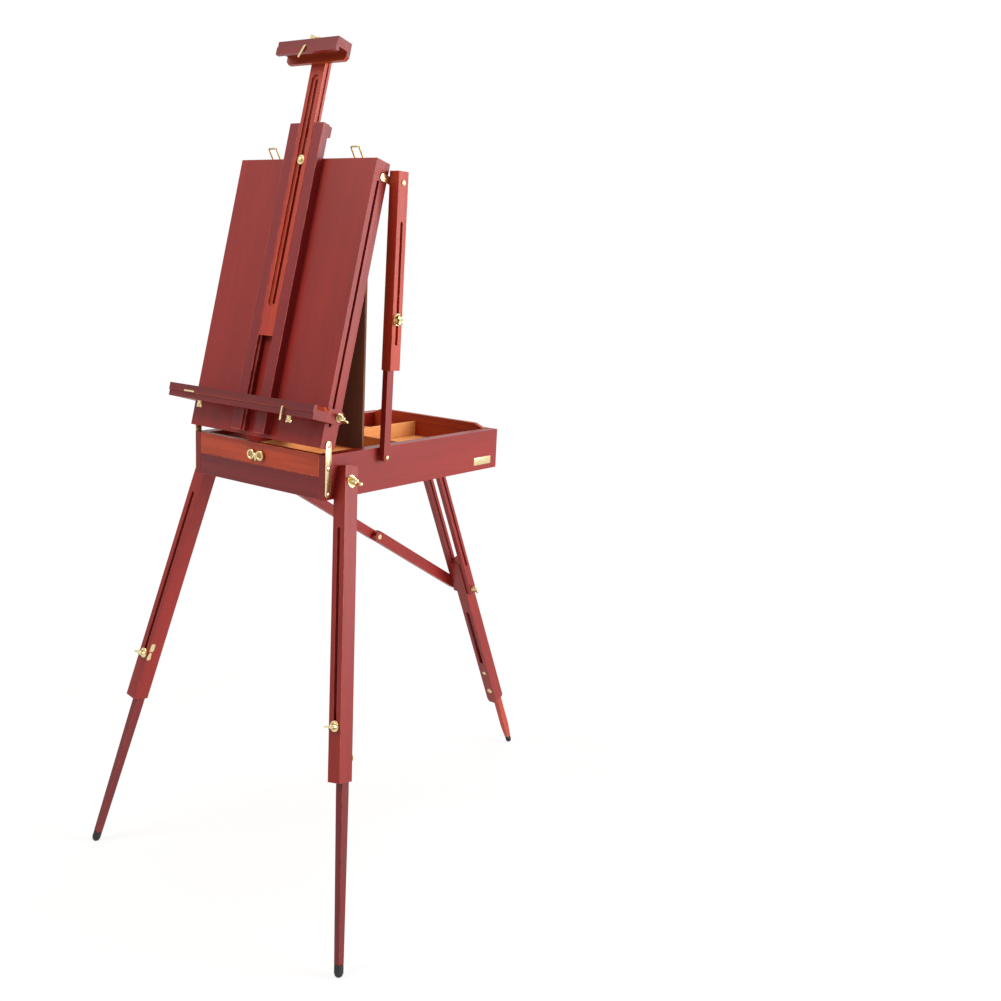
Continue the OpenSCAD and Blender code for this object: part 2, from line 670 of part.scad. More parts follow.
module ledge_brass() color(brass) in_lid() for (side = [-1, 1]) on_side(side) {
  translate([0, groove_back, stud_s]) {
    rod_along_x(stud_d, side_x - groove_deep + gap, ledge_w / 2);
    translate([ledge_w / 2, 0, 0]) rotate([0, 90, 0]) wing_nut(washer = 16, hub = 11, hub_h = 8, span = 28);
  }
  translate([keeper_x, -moulding_y - moulding_d / 2, ledge_low]) {
    rotate([180, 0, 0]) wing_nut(washer = 12, hub = 9, hub_h = 8, span = 20);
    rod_along_z(pin_d, 0, clamp_deep);
  }
}

module ledge_keeper(side, turn) color(brass) in_lid()
  translate([side * keeper_x, -keeper_y, ledge_low + moulding_h - keeper_z]) rotate([0, turn, 0]) keeper();
module ledge_keeper_left() ledge_keeper(-1, 90);
module ledge_keeper_right() ledge_keeper(1, 0);

// ---- arms ----
module arm_rod(side) color(wood) in_arm(side) difference() {
  union() {
    slab([rod_x, -rod_w / 2, 0], [rod_x + rod_t, rod_w / 2, arm_nut_s + 15]);
    rod_along_x(rod_w, rod_x, rod_x + rod_t);
  }
  for (z = [0, arm_nut_s]) translate([0, 0, z]) rod_along_x(screw_d + 2 * fit, rod_x - past, rod_x + rod_t + past);
}
module arm_rod_left() arm_rod(-1);
module arm_rod_right() arm_rod(1);

module arm_nut(side) color(brass) in_arm(side) translate([0, 0, arm_nut_s]) {
  rod_along_x(screw_d, rod_x + 0.5, arm_out + gap);
  translate([arm_out + gap, 0, 0]) rotate([0, 90, 0]) wing_nut(washer = 22);
}
module arm_nut_left() arm_nut(-1);
module arm_nut_right() arm_nut(1);

module arm_channel(side) color(wood) in_arm(side) difference() {
  slab([channel_x, -channel_half, channel_low], [arm_out, channel_half, channel_top]);
  slab([channel_x - past, -rod_w / 2 - gap, channel_low - past], [web_x, rod_w / 2 + gap, channel_top - arm_solid]);
  slot_x(slot_w, arm_slot_low, arm_slot_high, web_x - past, arm_out + past);
  translate([0, 0, arm_span]) rod_along_x(screw_d + 2 * fit, channel_x - past, arm_out + past);
}
module arm_channel_left() arm_channel(-1);
module arm_channel_right() arm_channel(1);

module arm_screw(side) color(brass) in_arm(side) translate([0, 0, arm_span]) {
  rod_along_x(screw_d, brass_x + plate_t + gap, arm_out);
  rod_along_x(11, arm_out, arm_out + 3);
}
module arm_screw_left() arm_screw(-1);
module arm_screw_right() arm_screw(1);

// ---- front legs ----
module leg_washer(side) color(dark_wood) in_fold(side) difference() {
  rod_along_x(washer_d, -gap - washer_t, -gap);
  rod_along_x(bolt_hole_d, -gap - washer_t - past, -gap + past);
}
module leg_washer_left() leg_washer(-1);
module leg_washer_right() leg_washer(1);

module leg(side) color(wood) in_leg(side) difference() {
  plate_xz([
    [0, 0], [head_top * tan(splay), head_top], [leg_w, head_top], [leg_w, knee - leg_low], [0, knee - leg_low]
  ], -leg_d / 2, leg_d / 2);
  slab([leg_flange, -leg_d / 2 + web_t, knee - leg_low - past], [leg_w - leg_flange, leg_d / 2 + past, knee - leg_solid]);
  translate([leg_w / 2, -leg_d / 2, knee]) slot_y(slot_w, -leg_slot_low, -leg_slot_top, -past, web_t + past);
  translate([0, 0, bolt_up]) rod_along_x(screw_d + 2 * fit, -past, leg_w + past);
}
module leg_left() leg(-1);
module leg_right() leg(1);

module leg_brass(side) color(brass) in_leg(side) {
  translate([0, 0, bolt_up]) {
    rod_along_x(screw_d, -(leg_x - in_x) - gap, leg_w);
    rod_along_x(12, -(leg_x - in_x) - gap - 3.5, -(leg_x - in_x) - gap);
    translate([leg_w, 0, 0]) rotate([0, 90, 0]) wing_nut(washer = 23, hub = 12, hub_h = 10, span = 32);
  }
  intersection() {
    translate([leg_w - leg_plate_in, 0, leg_plate_z]) rod_along_y(leg_plate_d, leg_d / 2, leg_d / 2 + plate_t);
    slab([0, leg_d / 2, leg_plate_z - leg_plate_d], [leg_w, leg_d / 2 + plate_t, leg_plate_z + leg_plate_d]);
  }
  for (z = [-4, 4]) translate([leg_w - leg_flange / 2, 0, leg_plate_z + z])
    rod_along_y(4, leg_d / 2 + plate_t, leg_d / 2 + plate_t + 0.6);
}
module leg_brass_left() leg_brass(-1);
module leg_brass_right() leg_brass(1);

// Half width at each height of the extension
function ext_side(half) = [
  [half, knee - ext_top], [half, knee - ext_taper], [ext_tip_w / 2, shoulder], [tenon_w / 2, shoulder],
  [tenon_w / 2, foot_z + 2], [-tenon_w / 2, foot_z + 2], [-tenon_w / 2, shoulder], [-ext_tip_w / 2, shoulder],
  [-half, knee - ext_taper], [-half, knee - ext_top]
];
module leg_extension(side) color(wood) in_leg(side) translate([leg_w / 2, ext_y, 0]) difference() {
  intersection() {
    plate_xz(ext_side(ext_w / 2), -ext_d, ext_d);
    plate_yz(ext_side(ext_d / 2), -ext_d, ext_d);
  }
  translate([0, 0, knee - nut_s]) rod_along_y(screw_d + 2 * fit, -ext_d, ext_d);
}
module leg_extension_left() leg_extension(-1);
module leg_extension_right() leg_extension(1);

module leg_nut(side) color(brass) in_leg(side) translate([leg_w / 2, 0, knee - nut_s]) {
  rod_along_y(screw_d, -leg_d / 2 - gap, ext_y0 + ext_d - 0.5);
  translate([0, -leg_d / 2 - gap, 0]) rotate([90, 0, 0]) wing_nut(washer = 20, hub = 12, hub_h = 9, span = leg_w - 1);
}
module leg_nut_left() leg_nut(-1);
module leg_nut_right() leg_nut(1);

// Rubber tip with a square socket, its round end's centre at z = 0
module rubber_tip(r, up, socket_w) difference() {
  union() {
    sphere(r = r);
    rod_along_z(2 * r, 0, up);
  }
  slab([-socket_w / 2, -socket_w / 2, 2], [socket_w / 2, socket_w / 2, up + past]);
}
module above_floor() intersection() {
  children();
  slab([-stand_h, -stand_h, 0], [stand_h, stand_h, stand_h]);
}
module foot(side) color(rubber) above_floor() in_leg(side) translate([leg_w / 2, ext_y, foot_z])
  rubber_tip(foot_r, foot_up, tenon_w + 2 * fit);
module foot_left() foot(-1);
module foot_right() foot(1);

// ---- rear leg ----
module rear_rails() color(wood) in_rear() for (side = [-1, 1]) on_side(side) difference() {
  union() {
    slab([rail_in, -rear_rail_w / 2, -rear_rail_l], [rail_out, rear_rail_w / 2, 0]);
    rod_along_x(rear_rail_w, rail_in, rail_out);
  }
  rod_along_x(rear_pin_d + 2 * fit, rail_in - past, rail_out + past);
  slot_x(pin_d + 0.6, -guide_s - 3.2, -guide_s + block_travel + 3.2, rail_in - past, rail_out + past);
  if (side > 0) translate([0, 0, -rear_rail_l + 12]) rod_along_x(pin_d + 2 * fit, rail_in - past, rail_out + past);
}

module rear_clamp_screw() color(brass) in_rear() translate([0, 0, -rear_rail_l + 12]) {
  rod_along_x(pin_d, rail_in, rail_out);
  translate([rail_out, 0, 0]) rotate([0, 90, 0]) wing_nut(washer = 13, hub = 10, hub_h = 8, span = 24);
}

module rear_block() color(wood) in_rear() {
  difference() {
    plate_xz([
      [-block_w / 2, -block_top], [block_w / 2, -block_top], [block_w / 2, -block_low + 9], [block_w / 2 - 4, -block_low],
      [-block_w / 2 + 4, -block_low], [-block_w / 2, -block_low + 9]
    ], block_y0, block_y0 + block_d);
    slab([-rear_ext_w / 2 - gap, block_y0 + block_web, -block_low - past],
      [rear_ext_w / 2 + gap, block_y0 + block_d + past, -rear_solid]);
    slot_y(10, -rear_slot_low, -rear_slot_top, block_y0 - past, block_y0 + block_web + past);
  }
  translate([0, 0, -guide_s]) rod_along_x(pin_d, -rail_out, rail_out);
}

function rear_ext_side(half) = [
  [half, -rear_ext_top], [half, rear_shoulder + rear_taper], [rear_tip_w / 2, rear_shoulder],
  [rear_tenon_w / 2, rear_shoulder], [rear_tenon_w / 2, -rear_foot_s + 2], [-rear_tenon_w / 2, -rear_foot_s + 2],
  [-rear_tenon_w / 2, rear_shoulder], [-rear_tip_w / 2, rear_shoulder], [-half, rear_shoulder + rear_taper],
  [-half, -rear_ext_top]
];
module rear_extension() color(wood) in_rear() translate([0, rear_ext_y, 0]) intersection() {
  plate_xz(rear_ext_side(rear_ext_w / 2), -rear_ext_d, rear_ext_d);
  plate_yz(rear_ext_side(rear_ext_d / 2), -rear_ext_d, rear_ext_d);
}

module rear_foot() color(rubber) above_floor() in_rear() translate([0, rear_ext_y, -rear_foot_s])
  rubber_tip(rear_foot_r, rear_foot_up, rear_tenon_w + 2 * fit);

// ---- brace ----
module brace_upper() color(wood) in_brace() difference() {
  union() {
    slab([-upper_x - link_t, 0, -link_h / 2], [-upper_x, link_l, link_h / 2]);
    for (y = [0, link_l]) translate([0, y, 0]) rod_along_x(link_h, -upper_x - link_t, -upper_x);
  }
  for (y = [0, link_l]) translate([0, y, 0]) rod_along_x(screw_d + 2 * fit, -upper_x - link_t - past, -upper_x + past);
}

module brace_lower() color(wood) in_brace() {
  difference() {
    union() {
      plate_yz([
        [link_l - brace_past, brace_corner - lower_h / 2], [link_l - brace_past + brace_corner, -lower_h / 2],
        [brace_span, -lower_h / 2], [brace_span, lower_h / 2], [link_l - brace_past + brace_corner, lower_h / 2],
        [link_l - brace_past, lower_h / 2 - brace_corner]
      ], -lower_x - link_t, -lower_x);
      translate([0, brace_span, 0]) rod_along_x(lower_h, -lower_x - link_t, -lower_x);
    }
    translate([0, link_l, 0]) {
      rod_along_x(screw_d + 2 * fit, -lower_x - link_t - past, -lower_x + past);
      rod_along_x(joint_head + 2 * gap, -lower_x - head_deep - gap, -lower_x + past);
    }
  }
  translate([0, brace_span, 0]) rod_along_x(screw_d, -lower_x - link_t + 1, -rail_out - 0.2);
}

module brace_screw() color(brass) in_brace() translate([0, link_l, 0]) {
  rod_along_x(screw_d, -upper_x - link_t, -lower_x - head_deep);
  rod_along_x(joint_head, -lower_x - head_deep, -lower_x);
}

box_sides();
box_front_rail();
box_rear_wall();
box_mid_panel();
box_side_brass();
box_rear_brass();
underside_blocks();
underside_pins();
handle();
drawer_front();
drawer_sides();
drawer_back();
drawer_bottom();
drawer_dividers();
drawer_catch();
palette();
lid_panel();
lid_sides();
lid_end_rails();
mast_rails();
lid_brass();
bail_left();
bail_right();
mast_slider();
mast_head();
head_screw();
head_keeper();
ledge();
ledge_ends();
ledge_brass();
ledge_keeper_left();
ledge_keeper_right();
arm_rod_left();
arm_rod_right();
arm_nut_left();
arm_nut_right();
arm_channel_left();
arm_channel_right();
arm_screw_left();
arm_screw_right();
leg_washer_left();
leg_washer_right();
leg_left();
leg_right();
leg_brass_left();
leg_brass_right();
leg_extension_left();
leg_extension_right();
leg_nut_left();
leg_nut_right();
foot_left();
foot_right();
rear_rails();
rear_clamp_screw();
rear_block();
rear_extension();
rear_foot();
brace_upper();
brace_lower();
brace_screw();
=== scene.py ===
import bpy, bmesh, json
from math import radians, pi
from mathutils import Matrix, Vector

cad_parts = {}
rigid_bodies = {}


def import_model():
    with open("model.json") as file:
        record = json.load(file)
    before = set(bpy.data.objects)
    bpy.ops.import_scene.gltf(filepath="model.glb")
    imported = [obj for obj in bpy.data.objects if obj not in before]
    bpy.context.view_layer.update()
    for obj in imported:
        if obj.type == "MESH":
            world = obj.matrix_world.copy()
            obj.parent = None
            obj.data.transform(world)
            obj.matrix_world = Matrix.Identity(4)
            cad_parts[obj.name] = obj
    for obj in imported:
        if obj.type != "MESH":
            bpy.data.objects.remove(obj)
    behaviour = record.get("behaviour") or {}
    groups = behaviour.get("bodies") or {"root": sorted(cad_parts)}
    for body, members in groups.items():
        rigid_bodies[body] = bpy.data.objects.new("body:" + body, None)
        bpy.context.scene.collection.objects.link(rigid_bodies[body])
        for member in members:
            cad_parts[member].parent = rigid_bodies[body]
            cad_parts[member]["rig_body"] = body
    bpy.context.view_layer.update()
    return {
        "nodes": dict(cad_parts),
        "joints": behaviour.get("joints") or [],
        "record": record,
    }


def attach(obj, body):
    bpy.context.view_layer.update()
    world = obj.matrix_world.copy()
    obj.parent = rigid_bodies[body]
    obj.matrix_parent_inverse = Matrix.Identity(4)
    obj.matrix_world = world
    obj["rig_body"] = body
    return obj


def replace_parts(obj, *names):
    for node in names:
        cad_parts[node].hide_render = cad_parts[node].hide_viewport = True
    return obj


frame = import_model()
nodes = frame["nodes"]
joints = {joint["name"]: joint for joint in frame["joints"]}
mm = 0.001
print("frame loaded:", len(nodes), "nodes")

# where the parts lie: axes, joints and the layouts that shapes are set in
xAxis, yAxis, zAxis = Vector((1, 0, 0)), Vector((0, 1, 0)), Vector((0, 0, 1))
still = Matrix.Identity(4)
quarterTurn = Matrix.Rotation(pi / 2, 4, "Z")


def axisOf(name):
    return Vector(joints[name]["axis"]).normalized()


def placeOf(name):
    return Vector(joints[name]["pos_m"])


def layout(origin, up):
    # a local layout with its Z along up, its X to the painter's right and its Y to the rear
    rear = up.cross(xAxis).normalized()
    right = rear.cross(up).normalized()
    return Matrix.Translation(origin) @ Matrix((right, rear, up)).transposed().to_4x4()


def extent(node, place):
    # lowest and highest corner of a node, measured in a layout
    back = place.inverted()
    points = [back @ v.co for v in nodes[node].data.vertices]
    return (Vector([min(p[i] for p in points) for i in range(3)]),
            Vector([max(p[i] for p in points) for i in range(3)]))


sides = {"left": -1, "right": 1}
upLid = -axisOf("mast_slide")
upRear = axisOf("rear_block_slide")
upArm = {side: -axisOf(f"arm_{side}_slide") for side in sides}
upLeg = {side: axisOf(f"leg_{side}_extend") for side in sides}
braceAlong = (placeOf("brace_lower_swing") - placeOf("brace_upper_swing")).normalized()


def legLayout(side):
    # the splayed leg's layout: X across the leg, Y to the rear, Z up along it
    up = upLeg[side]
    rear = axisOf(f"leg_{side}_splay") * sides[side]
    right = rear.cross(up).normalized()
    turn = Matrix((right, rear, up)).transposed().to_4x4()
    return Matrix.Translation(placeOf(f"leg_{side}_splay")) @ turn


def onMiddle(name):
    # a joint's place moved sideways to the middle of the easel
    place = placeOf(name)
    return Vector((0, place.y, place.z))


# the layouts that the brass and the feet are set in, each with its parts' own zero
lidZero = {"y": -18, "z": -8}
legPlace = {side: legLayout(side) for side in sides}
boxLow = extent("box_sides", still)[0]
boxHome = Matrix.Translation((0, boxLow.y, boxLow.z))
lidShift = Matrix.Translation(Vector((0, lidZero["y"], lidZero["z"])) * mm)
lidHome = layout(onMiddle("lid_tilt"), upLid) @ lidShift
rearHome = layout(onMiddle("rear_leg_fold"), upRear)
armHome = {side: layout(onMiddle(f"arm_{side}_swing"), upArm[side]) for side in sides}


# the finishes: stained woods, brass and rubber
def linear(colour):
    # a colour as the eye reads it, 0 to 255, to the value that light works with
    return [(c / 255 / 12.92) if c <= 10 else ((c / 255 + 0.055) / 1.055) ** 2.4 for c in colour] + [1]


def newMaterial(name):
    material = bpy.data.materials.new(name)
    material.use_nodes = True
    return material, material.node_tree, material.node_tree.nodes["Principled BSDF"]


def addNode(tree, kind, **settings):
    made = tree.nodes.new(kind)
    for key, value in settings.items():
        setattr(made, key, value)
    return made


def mixColour(tree, factor, first, second):
    made = addNode(tree, "ShaderNodeMix", data_type="RGBA", blend_type="MIX")
    for socket, value in ((made.inputs[0], factor), (made.inputs[6], first), (made.inputs[7], second)):
        if isinstance(value, bpy.types.NodeSocket):
            tree.links.new(value, socket)
        else:
            socket.default_value = value
    return made.outputs[2]


def ramp(tree, value, low, high, toLow=0.0, toHigh=1.0):
    made = addNode(tree, "ShaderNodeMapRange", interpolation_type="SMOOTHSTEP")
    tree.links.new(value, made.inputs[0])
    for socket, number in zip(made.inputs[1:5], (low, high, toLow, toHigh)):
        socket.default_value = number
    return made.outputs[0]


def calculate(tree, operation, first, second=0.0):
    made = addNode(tree, "ShaderNodeMath", operation=operation)
    for socket, value in zip(made.inputs, (first, second)):
        if isinstance(value, bpy.types.NodeSocket):
            tree.links.new(value, socket)
        else:
            socket.default_value = value
    return made.outputs[0]


def streaks(tree, vector, scale, detail, roughness=0.5, distortion=0.0):
    stretch = addNode(tree, "ShaderNodeMapping")
    stretch.inputs["Scale"].default_value = scale
    tree.links.new(vector, stretch.inputs["Vector"])
    noise = addNode(tree, "ShaderNodeTexNoise")
    noise.inputs["Scale"].default_value = 1
    noise.inputs["Detail"].default_value = detail
    noise.inputs["Roughness"].default_value = roughness
    noise.inputs["Distortion"].default_value = distortion
    tree.links.new(stretch.outputs[0], noise.inputs["Vector"])
    return noise.outputs["Fac"]


def addBump(tree, shader, height, strength, distance):
    bump = addNode(tree, "ShaderNodeBump")
    bump.inputs["Strength"].default_value = strength
    bump.inputs["Distance"].default_value = distance
    tree.links.new(height, bump.inputs["Height"])
    tree.links.new(bump.outputs[0], shader.inputs["Normal"])


def setInputs(shader, **values):
    for name, value in values.items():
        shader.inputs[name.replace("_", " ")].default_value = value


# each wood's light and dark streaks, its pores, its edge colour (wear and a painted highlight), its gloss and
# how strong its figure is
woodLooks = {
    "mahogany": {"light": (149, 35, 26), "dark": (127, 26, 20), "pore": (84, 14, 12),
                 "edgeWearAndHighlight": (216, 104, 80), "rough": 0.4, "coat": 0.1, "figure": 0.55},
    "amber": {"light": (174, 66, 32), "dark": (140, 43, 24), "pore": (98, 26, 14), "edgeWearAndHighlight": (224, 124, 68),
              "rough": 0.42, "coat": 0.1, "figure": 1.3},
    "rosewood": {"light": (138, 31, 30), "dark": (110, 21, 24), "pore": (66, 10, 13), "edgeWearAndHighlight": (206, 96, 78),
                 "rough": 0.4, "coat": 0.1, "figure": 0.6},
    "cherry": {"light": (182, 60, 32), "dark": (150, 40, 24), "pore": (98, 22, 14), "edgeWearAndHighlight": (222, 118, 84),
               "rough": 0.4, "coat": 0.1, "figure": 0.8},
    "honey": {"light": (238, 172, 106), "dark": (220, 146, 82), "pore": (152, 82, 40),
              "edgeWearAndHighlight": (236, 180, 120), "rough": 0.5, "coat": 0.04, "figure": 1.2},
    "umber": {"light": (148, 98, 72), "dark": (124, 80, 58), "pore": (88, 54, 40), "edgeWearAndHighlight": (166, 118, 90),
              "rough": 0.46, "coat": 0.08, "figure": 0.8},
    "plum": {"light": (122, 27, 25), "dark": (96, 18, 20), "pore": (54, 8, 11), "edgeWearAndHighlight": (170, 66, 50),
             "rough": 0.4, "coat": 0.12, "figure": 0.9},
}

# each layer of the grain: its scale across and along, its detail, its roughness and its distortion
woodLayers = {
    "figure": ((26, 26, 1.6), 4, 0.55, 0.6),
    "bands": ((110, 110, 3.0), 3, 0.6, 0.3),
    "pores": ((900, 900, 22), 2, 0.5, 0.0),
    "mottle": ((9, 9, 4), 3, 0.6, 0.0),
    "edgeMarkNoise": ((60, 60, 40), 3, 0.7, 0.0),
}
woodShift = (0.37, 0.71, 1.13)  # a board's number slides its grain by this, so that no two are alike
# how each layer shows: the levels it runs between and how strong it is at each
woodLevels = {"figure": (0.3, 0.7), "bands": (0.32, 0.68), "pores": (0.58, 0.78, 0.0, 0.55),
              "mottle": (0.3, 0.7, 0.0, 0.22), "ends": (0.8, 0.97, 0.0, 0.4), "edgeMarkNoise": (0.4, 0.62, 0.15, 0.75)}
woodFinish = {"wide": 0.6, "fine": 0.4, "specular": 0.28, "coatRough": 0.25, "roughSpread": 0.06,
              "bump": 0.25, "bumpDeep": 0.0003, "poreDeep": -0.6}


def woodMaterial(name, look, along, shift):
    values, levels, finish = woodLooks[look], woodLevels, woodFinish
    material, tree, shader = newMaterial(name)
    place = addNode(tree, "ShaderNodeTexCoord")
    turn = addNode(tree, "ShaderNodeMapping")
    turn.inputs["Rotation"].default_value = along.rotation_difference(zAxis).to_euler()
    turn.inputs["Location"].default_value = [shift * share for share in woodShift]
    tree.links.new(place.outputs["Object"], turn.inputs["Vector"])
    grain = turn.outputs[0]
    figure, bands, pores, mottle, edgeMarkNoise = [streaks(tree, grain, *layer) for layer in woodLayers.values()]
    pore = linear(values["pore"])
    strength = values["figure"]
    wide = calculate(tree, "MULTIPLY", ramp(tree, figure, *levels["figure"]), finish["wide"] * strength)
    fine = calculate(tree, "MULTIPLY", ramp(tree, bands, *levels["bands"]), finish["fine"] * strength)
    tone = calculate(tree, "ADD", wide, fine)
    colour = mixColour(tree, tone, linear(values["dark"]), linear(values["light"]))
    colour = mixColour(tree, ramp(tree, pores, *levels["pores"]), colour, pore)
    colour = mixColour(tree, ramp(tree, mottle, *levels["mottle"]), colour, pore)
    # cut ends drink more stain
    level = addNode(tree, "ShaderNodeVectorMath", operation="DOT_PRODUCT")
    tree.links.new(place.outputs["Normal"], level.inputs[0])
    level.inputs[1].default_value = along
    ends = ramp(tree, calculate(tree, "ABSOLUTE", level.outputs["Value"]), *levels["ends"])
    colour = mixColour(tree, ends, colour, pore)
    # rubbed edges, lightened also as a painted highlight along the eased edges
    edge = addNode(tree, "ShaderNodeAttribute", attribute_name="ease")
    edgeWearAndHighlight = calculate(tree, "MULTIPLY", edge.outputs["Fac"], ramp(tree, edgeMarkNoise, *levels["edgeMarkNoise"]))
    colour = mixColour(tree, edgeWearAndHighlight, colour, linear(values["edgeWearAndHighlight"]))
    tree.links.new(colour, shader.inputs["Base Color"])
    spread = finish["roughSpread"]
    rough = ramp(tree, bands, 0.25, 0.75, values["rough"] + spread, values["rough"] - spread)
    tree.links.new(rough, shader.inputs["Roughness"])
    setInputs(shader, Specular_IOR_Level=finish["specular"], Coat_Weight=values["coat"],
              Coat_Roughness=finish["coatRough"])
    height = calculate(tree, "ADD", calculate(tree, "MULTIPLY", pores, finish["poreDeep"]), bands)
    addBump(tree, shader, height, finish["bump"], finish["bumpDeep"])
    return material


brassLook = {"tarnish": (70, 70, 70), "scratch": (1400, 300, 500), "dulled": 0.74, "rougher": (-0.05, 0.1),
             "bump": 0.12, "bumpDeep": 0.0001}


def brassMaterial(name, colour, rough):
    values = brassLook
    material, tree, shader = newMaterial(name)
    place = addNode(tree, "ShaderNodeTexCoord")
    tarnish = streaks(tree, place.outputs["Object"], values["tarnish"], 4, 0.65)
    scratch = streaks(tree, place.outputs["Object"], values["scratch"], 2)
    dull = [c * values["dulled"] for c in colour]
    base = mixColour(tree, ramp(tree, tarnish, 0.45, 0.75, 0.0, 0.5), linear(colour), linear(dull))
    tree.links.new(base, shader.inputs["Base Color"])
    setInputs(shader, Metallic=1)
    low, high = [rough + change for change in values["rougher"]]
    tree.links.new(ramp(tree, tarnish, 0.3, 0.7, low, high), shader.inputs["Roughness"])
    addBump(tree, shader, scratch, values["bump"], values["bumpDeep"])
    return material


rubberLook = {"clean": (24, 24, 25), "dusty": (52, 50, 48), "dust": (160, 160, 160), "rough": (0.55, 0.75),
              "bump": 0.2, "bumpDeep": 0.0002}


def rubberMaterial(name, values):
    material, tree, shader = newMaterial(name)
    place = addNode(tree, "ShaderNodeTexCoord")
    dust = streaks(tree, place.outputs["Object"], values["dust"], 4, 0.7)
    base = mixColour(tree, ramp(tree, dust, 0.45, 0.75), linear(values["clean"]), linear(values["dusty"]))
    tree.links.new(base, shader.inputs["Base Color"])
    tree.links.new(ramp(tree, dust, 0.3, 0.7, *values["rough"]), shader.inputs["Roughness"])
    addBump(tree, shader, dust, values["bump"], values["bumpDeep"])
    return material


brass = brassMaterial("brass", (230, 211, 162), 0.24)
dullBrass = brassMaterial("brassDull", (176, 144, 92), 0.36)
rubber = rubberMaterial("rubber", rubberLook)
# a dull dark wood for the rings round the strap screws: painted shade in their countersinks
seat = woodMaterial("paintedShadeScrewSeat", "plum", zAxis, 90)
setInputs(seat.node_tree.nodes["Principled BSDF"], Coat_Weight=0)
print("materials ready")

# each wooden node: its wood, the way its grain runs and the width of its eased edges in mm
boards = {
    # the box's front rail takes the darker plum as painted shade
    "box_sides": ("mahogany", yAxis, 1.2), "box_front_rail": ("plum", xAxis, 1.0),
    "box_rear_wall": ("mahogany", xAxis, 1.0), "box_mid_panel": ("honey", yAxis, 0.3),
    "underside_blocks": ("mahogany", zAxis, 1.0),
    "drawer_front": ("amber", xAxis, 0.8), "drawer_sides": ("mahogany", yAxis, 0.8),
    "drawer_back": ("amber", xAxis, 0.8), "drawer_bottom": ("honey", yAxis, 0.3),
    "drawer_dividers": ("honey", yAxis, 0.5), "palette": ("umber", zAxis, 0.8),
    "lid_panel": ("mahogany", upLid, 0.6), "lid_sides": ("mahogany", upLid, 1.2),
    "lid_end_rails": ("amber", xAxis, 0.8), "mast_rails": ("rosewood", upLid, 1.0),
    "mast_slider": ("cherry", upLid, 0.6), "mast_head": ("mahogany", xAxis, 1.0),
    "ledge": ("mahogany", xAxis, 1.0), "ledge_ends": ("mahogany", upLid, 1.0),
    "rear_rails": ("mahogany", upRear, 1.0), "rear_block": ("mahogany", upRear, 1.0),
    "rear_extension": ("cherry", upRear, 0.8),
    "brace_upper": ("mahogany", braceAlong, 1.0), "brace_lower": ("mahogany", braceAlong, 1.0),
}
for side in sides:
    boards[f"arm_rod_{side}"] = ("mahogany", upArm[side], 0.8)
    # the arm channels take the brighter cherry as painted light on their fronts
    boards[f"arm_channel_{side}"] = ("cherry", upArm[side], 1.0)
    boards[f"leg_washer_{side}"] = ("plum", zAxis, 0.3)
    boards[f"leg_{side}"] = ("mahogany", upLeg[side], 1.2)
    boards[f"leg_extension_{side}"] = ("plum", upLeg[side], 0.8)

# where the mouldings' woods meet, in mm in the lid's layout; the shoulder band is painted as a highlight
moulding = {"bar": -25, "lip": -50, "headBar": 705, "ledgeBar": 62, "shoulder": (56.2, 57.6)}


def headWood(p):
    # the rear bar is of a warmer wood (1) and the lip of a darker one (2)
    if p.y > moulding["bar"] and p.z < moulding["headBar"]:
        return 1
    return 2 if p.y < moulding["lip"] else 0


def ledgeWood(p):
    # the same for the ledge; its narrow shoulder under the lip takes the warmer wood as a painted highlight
    low, high = moulding["shoulder"]
    if (p.y > moulding["bar"] and p.z > moulding["ledgeBar"]) or (p.y < moulding["lip"] and low < p.z < high):
        return 1
    return 2 if p.y < moulding["lip"] else 0


secondWood = {"mast_head": headWood, "ledge": ledgeWood}


def bodyOf(node):
    return nodes[node]["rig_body"]


def finishMesh(name, bm, material, body, smoothAngle=None):
    # a made mesh becomes a piece of the object that rides on a body
    mesh = bpy.data.meshes.new(name)
    bm.to_mesh(mesh)
    bm.free()
    mesh.materials.append(material)
    mesh.polygons.foreach_set("use_smooth", [True] * len(mesh.polygons))
    if smoothAngle:
        mesh.set_sharp_from_angle(angle=radians(smoothAngle))
    piece = bpy.data.objects.new(name, mesh)
    bpy.context.scene.collection.objects.link(piece)
    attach(piece, body)
    return piece


def rounded(bm, geom, width, steps=2, affect="EDGES"):
    return bmesh.ops.bevel(bm, geom=geom, offset=width, offset_type="OFFSET", affect=affect, segments=steps,
                           profile=0.5, material=-1, clamp_overlap=True)


easing = {"weld": 2e-6, "flat": 0.5, "sharp": 32}


def easedBoard(node, material, width, other=None):
    # a copy of a board with its edges rounded over as sandpaper leaves them
    # other holds two more woods and the function that says which wood a place is of
    bm = bmesh.new()
    bm.from_mesh(nodes[node].data)
    ease = bm.faces.layers.float.new("ease")
    bmesh.ops.remove_doubles(bm, verts=bm.verts, dist=easing["weld"])
    bmesh.ops.dissolve_limit(bm, angle_limit=radians(easing["flat"]), verts=bm.verts, edges=bm.edges)
    sharp = [e for e in bm.edges if len(e.link_faces) == 2 and e.calc_face_angle() > radians(easing["sharp"])]
    for face in rounded(bm, sharp, width * mm)["faces"]:
        face[ease] = 1.0
    if other:
        for face in bm.faces:
            face.material_index = other[-1](lidHome.inverted() @ face.calc_center_median() / mm)
    piece = finishMesh(node + "_eased", bm, material, bodyOf(node))
    if other:
        for extra in other[:-1]:
            piece.data.materials.append(extra)
    even = piece.modifiers.new("evenNormals", "WEIGHTED_NORMAL")
    even.keep_sharp = True
    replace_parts(piece, node)


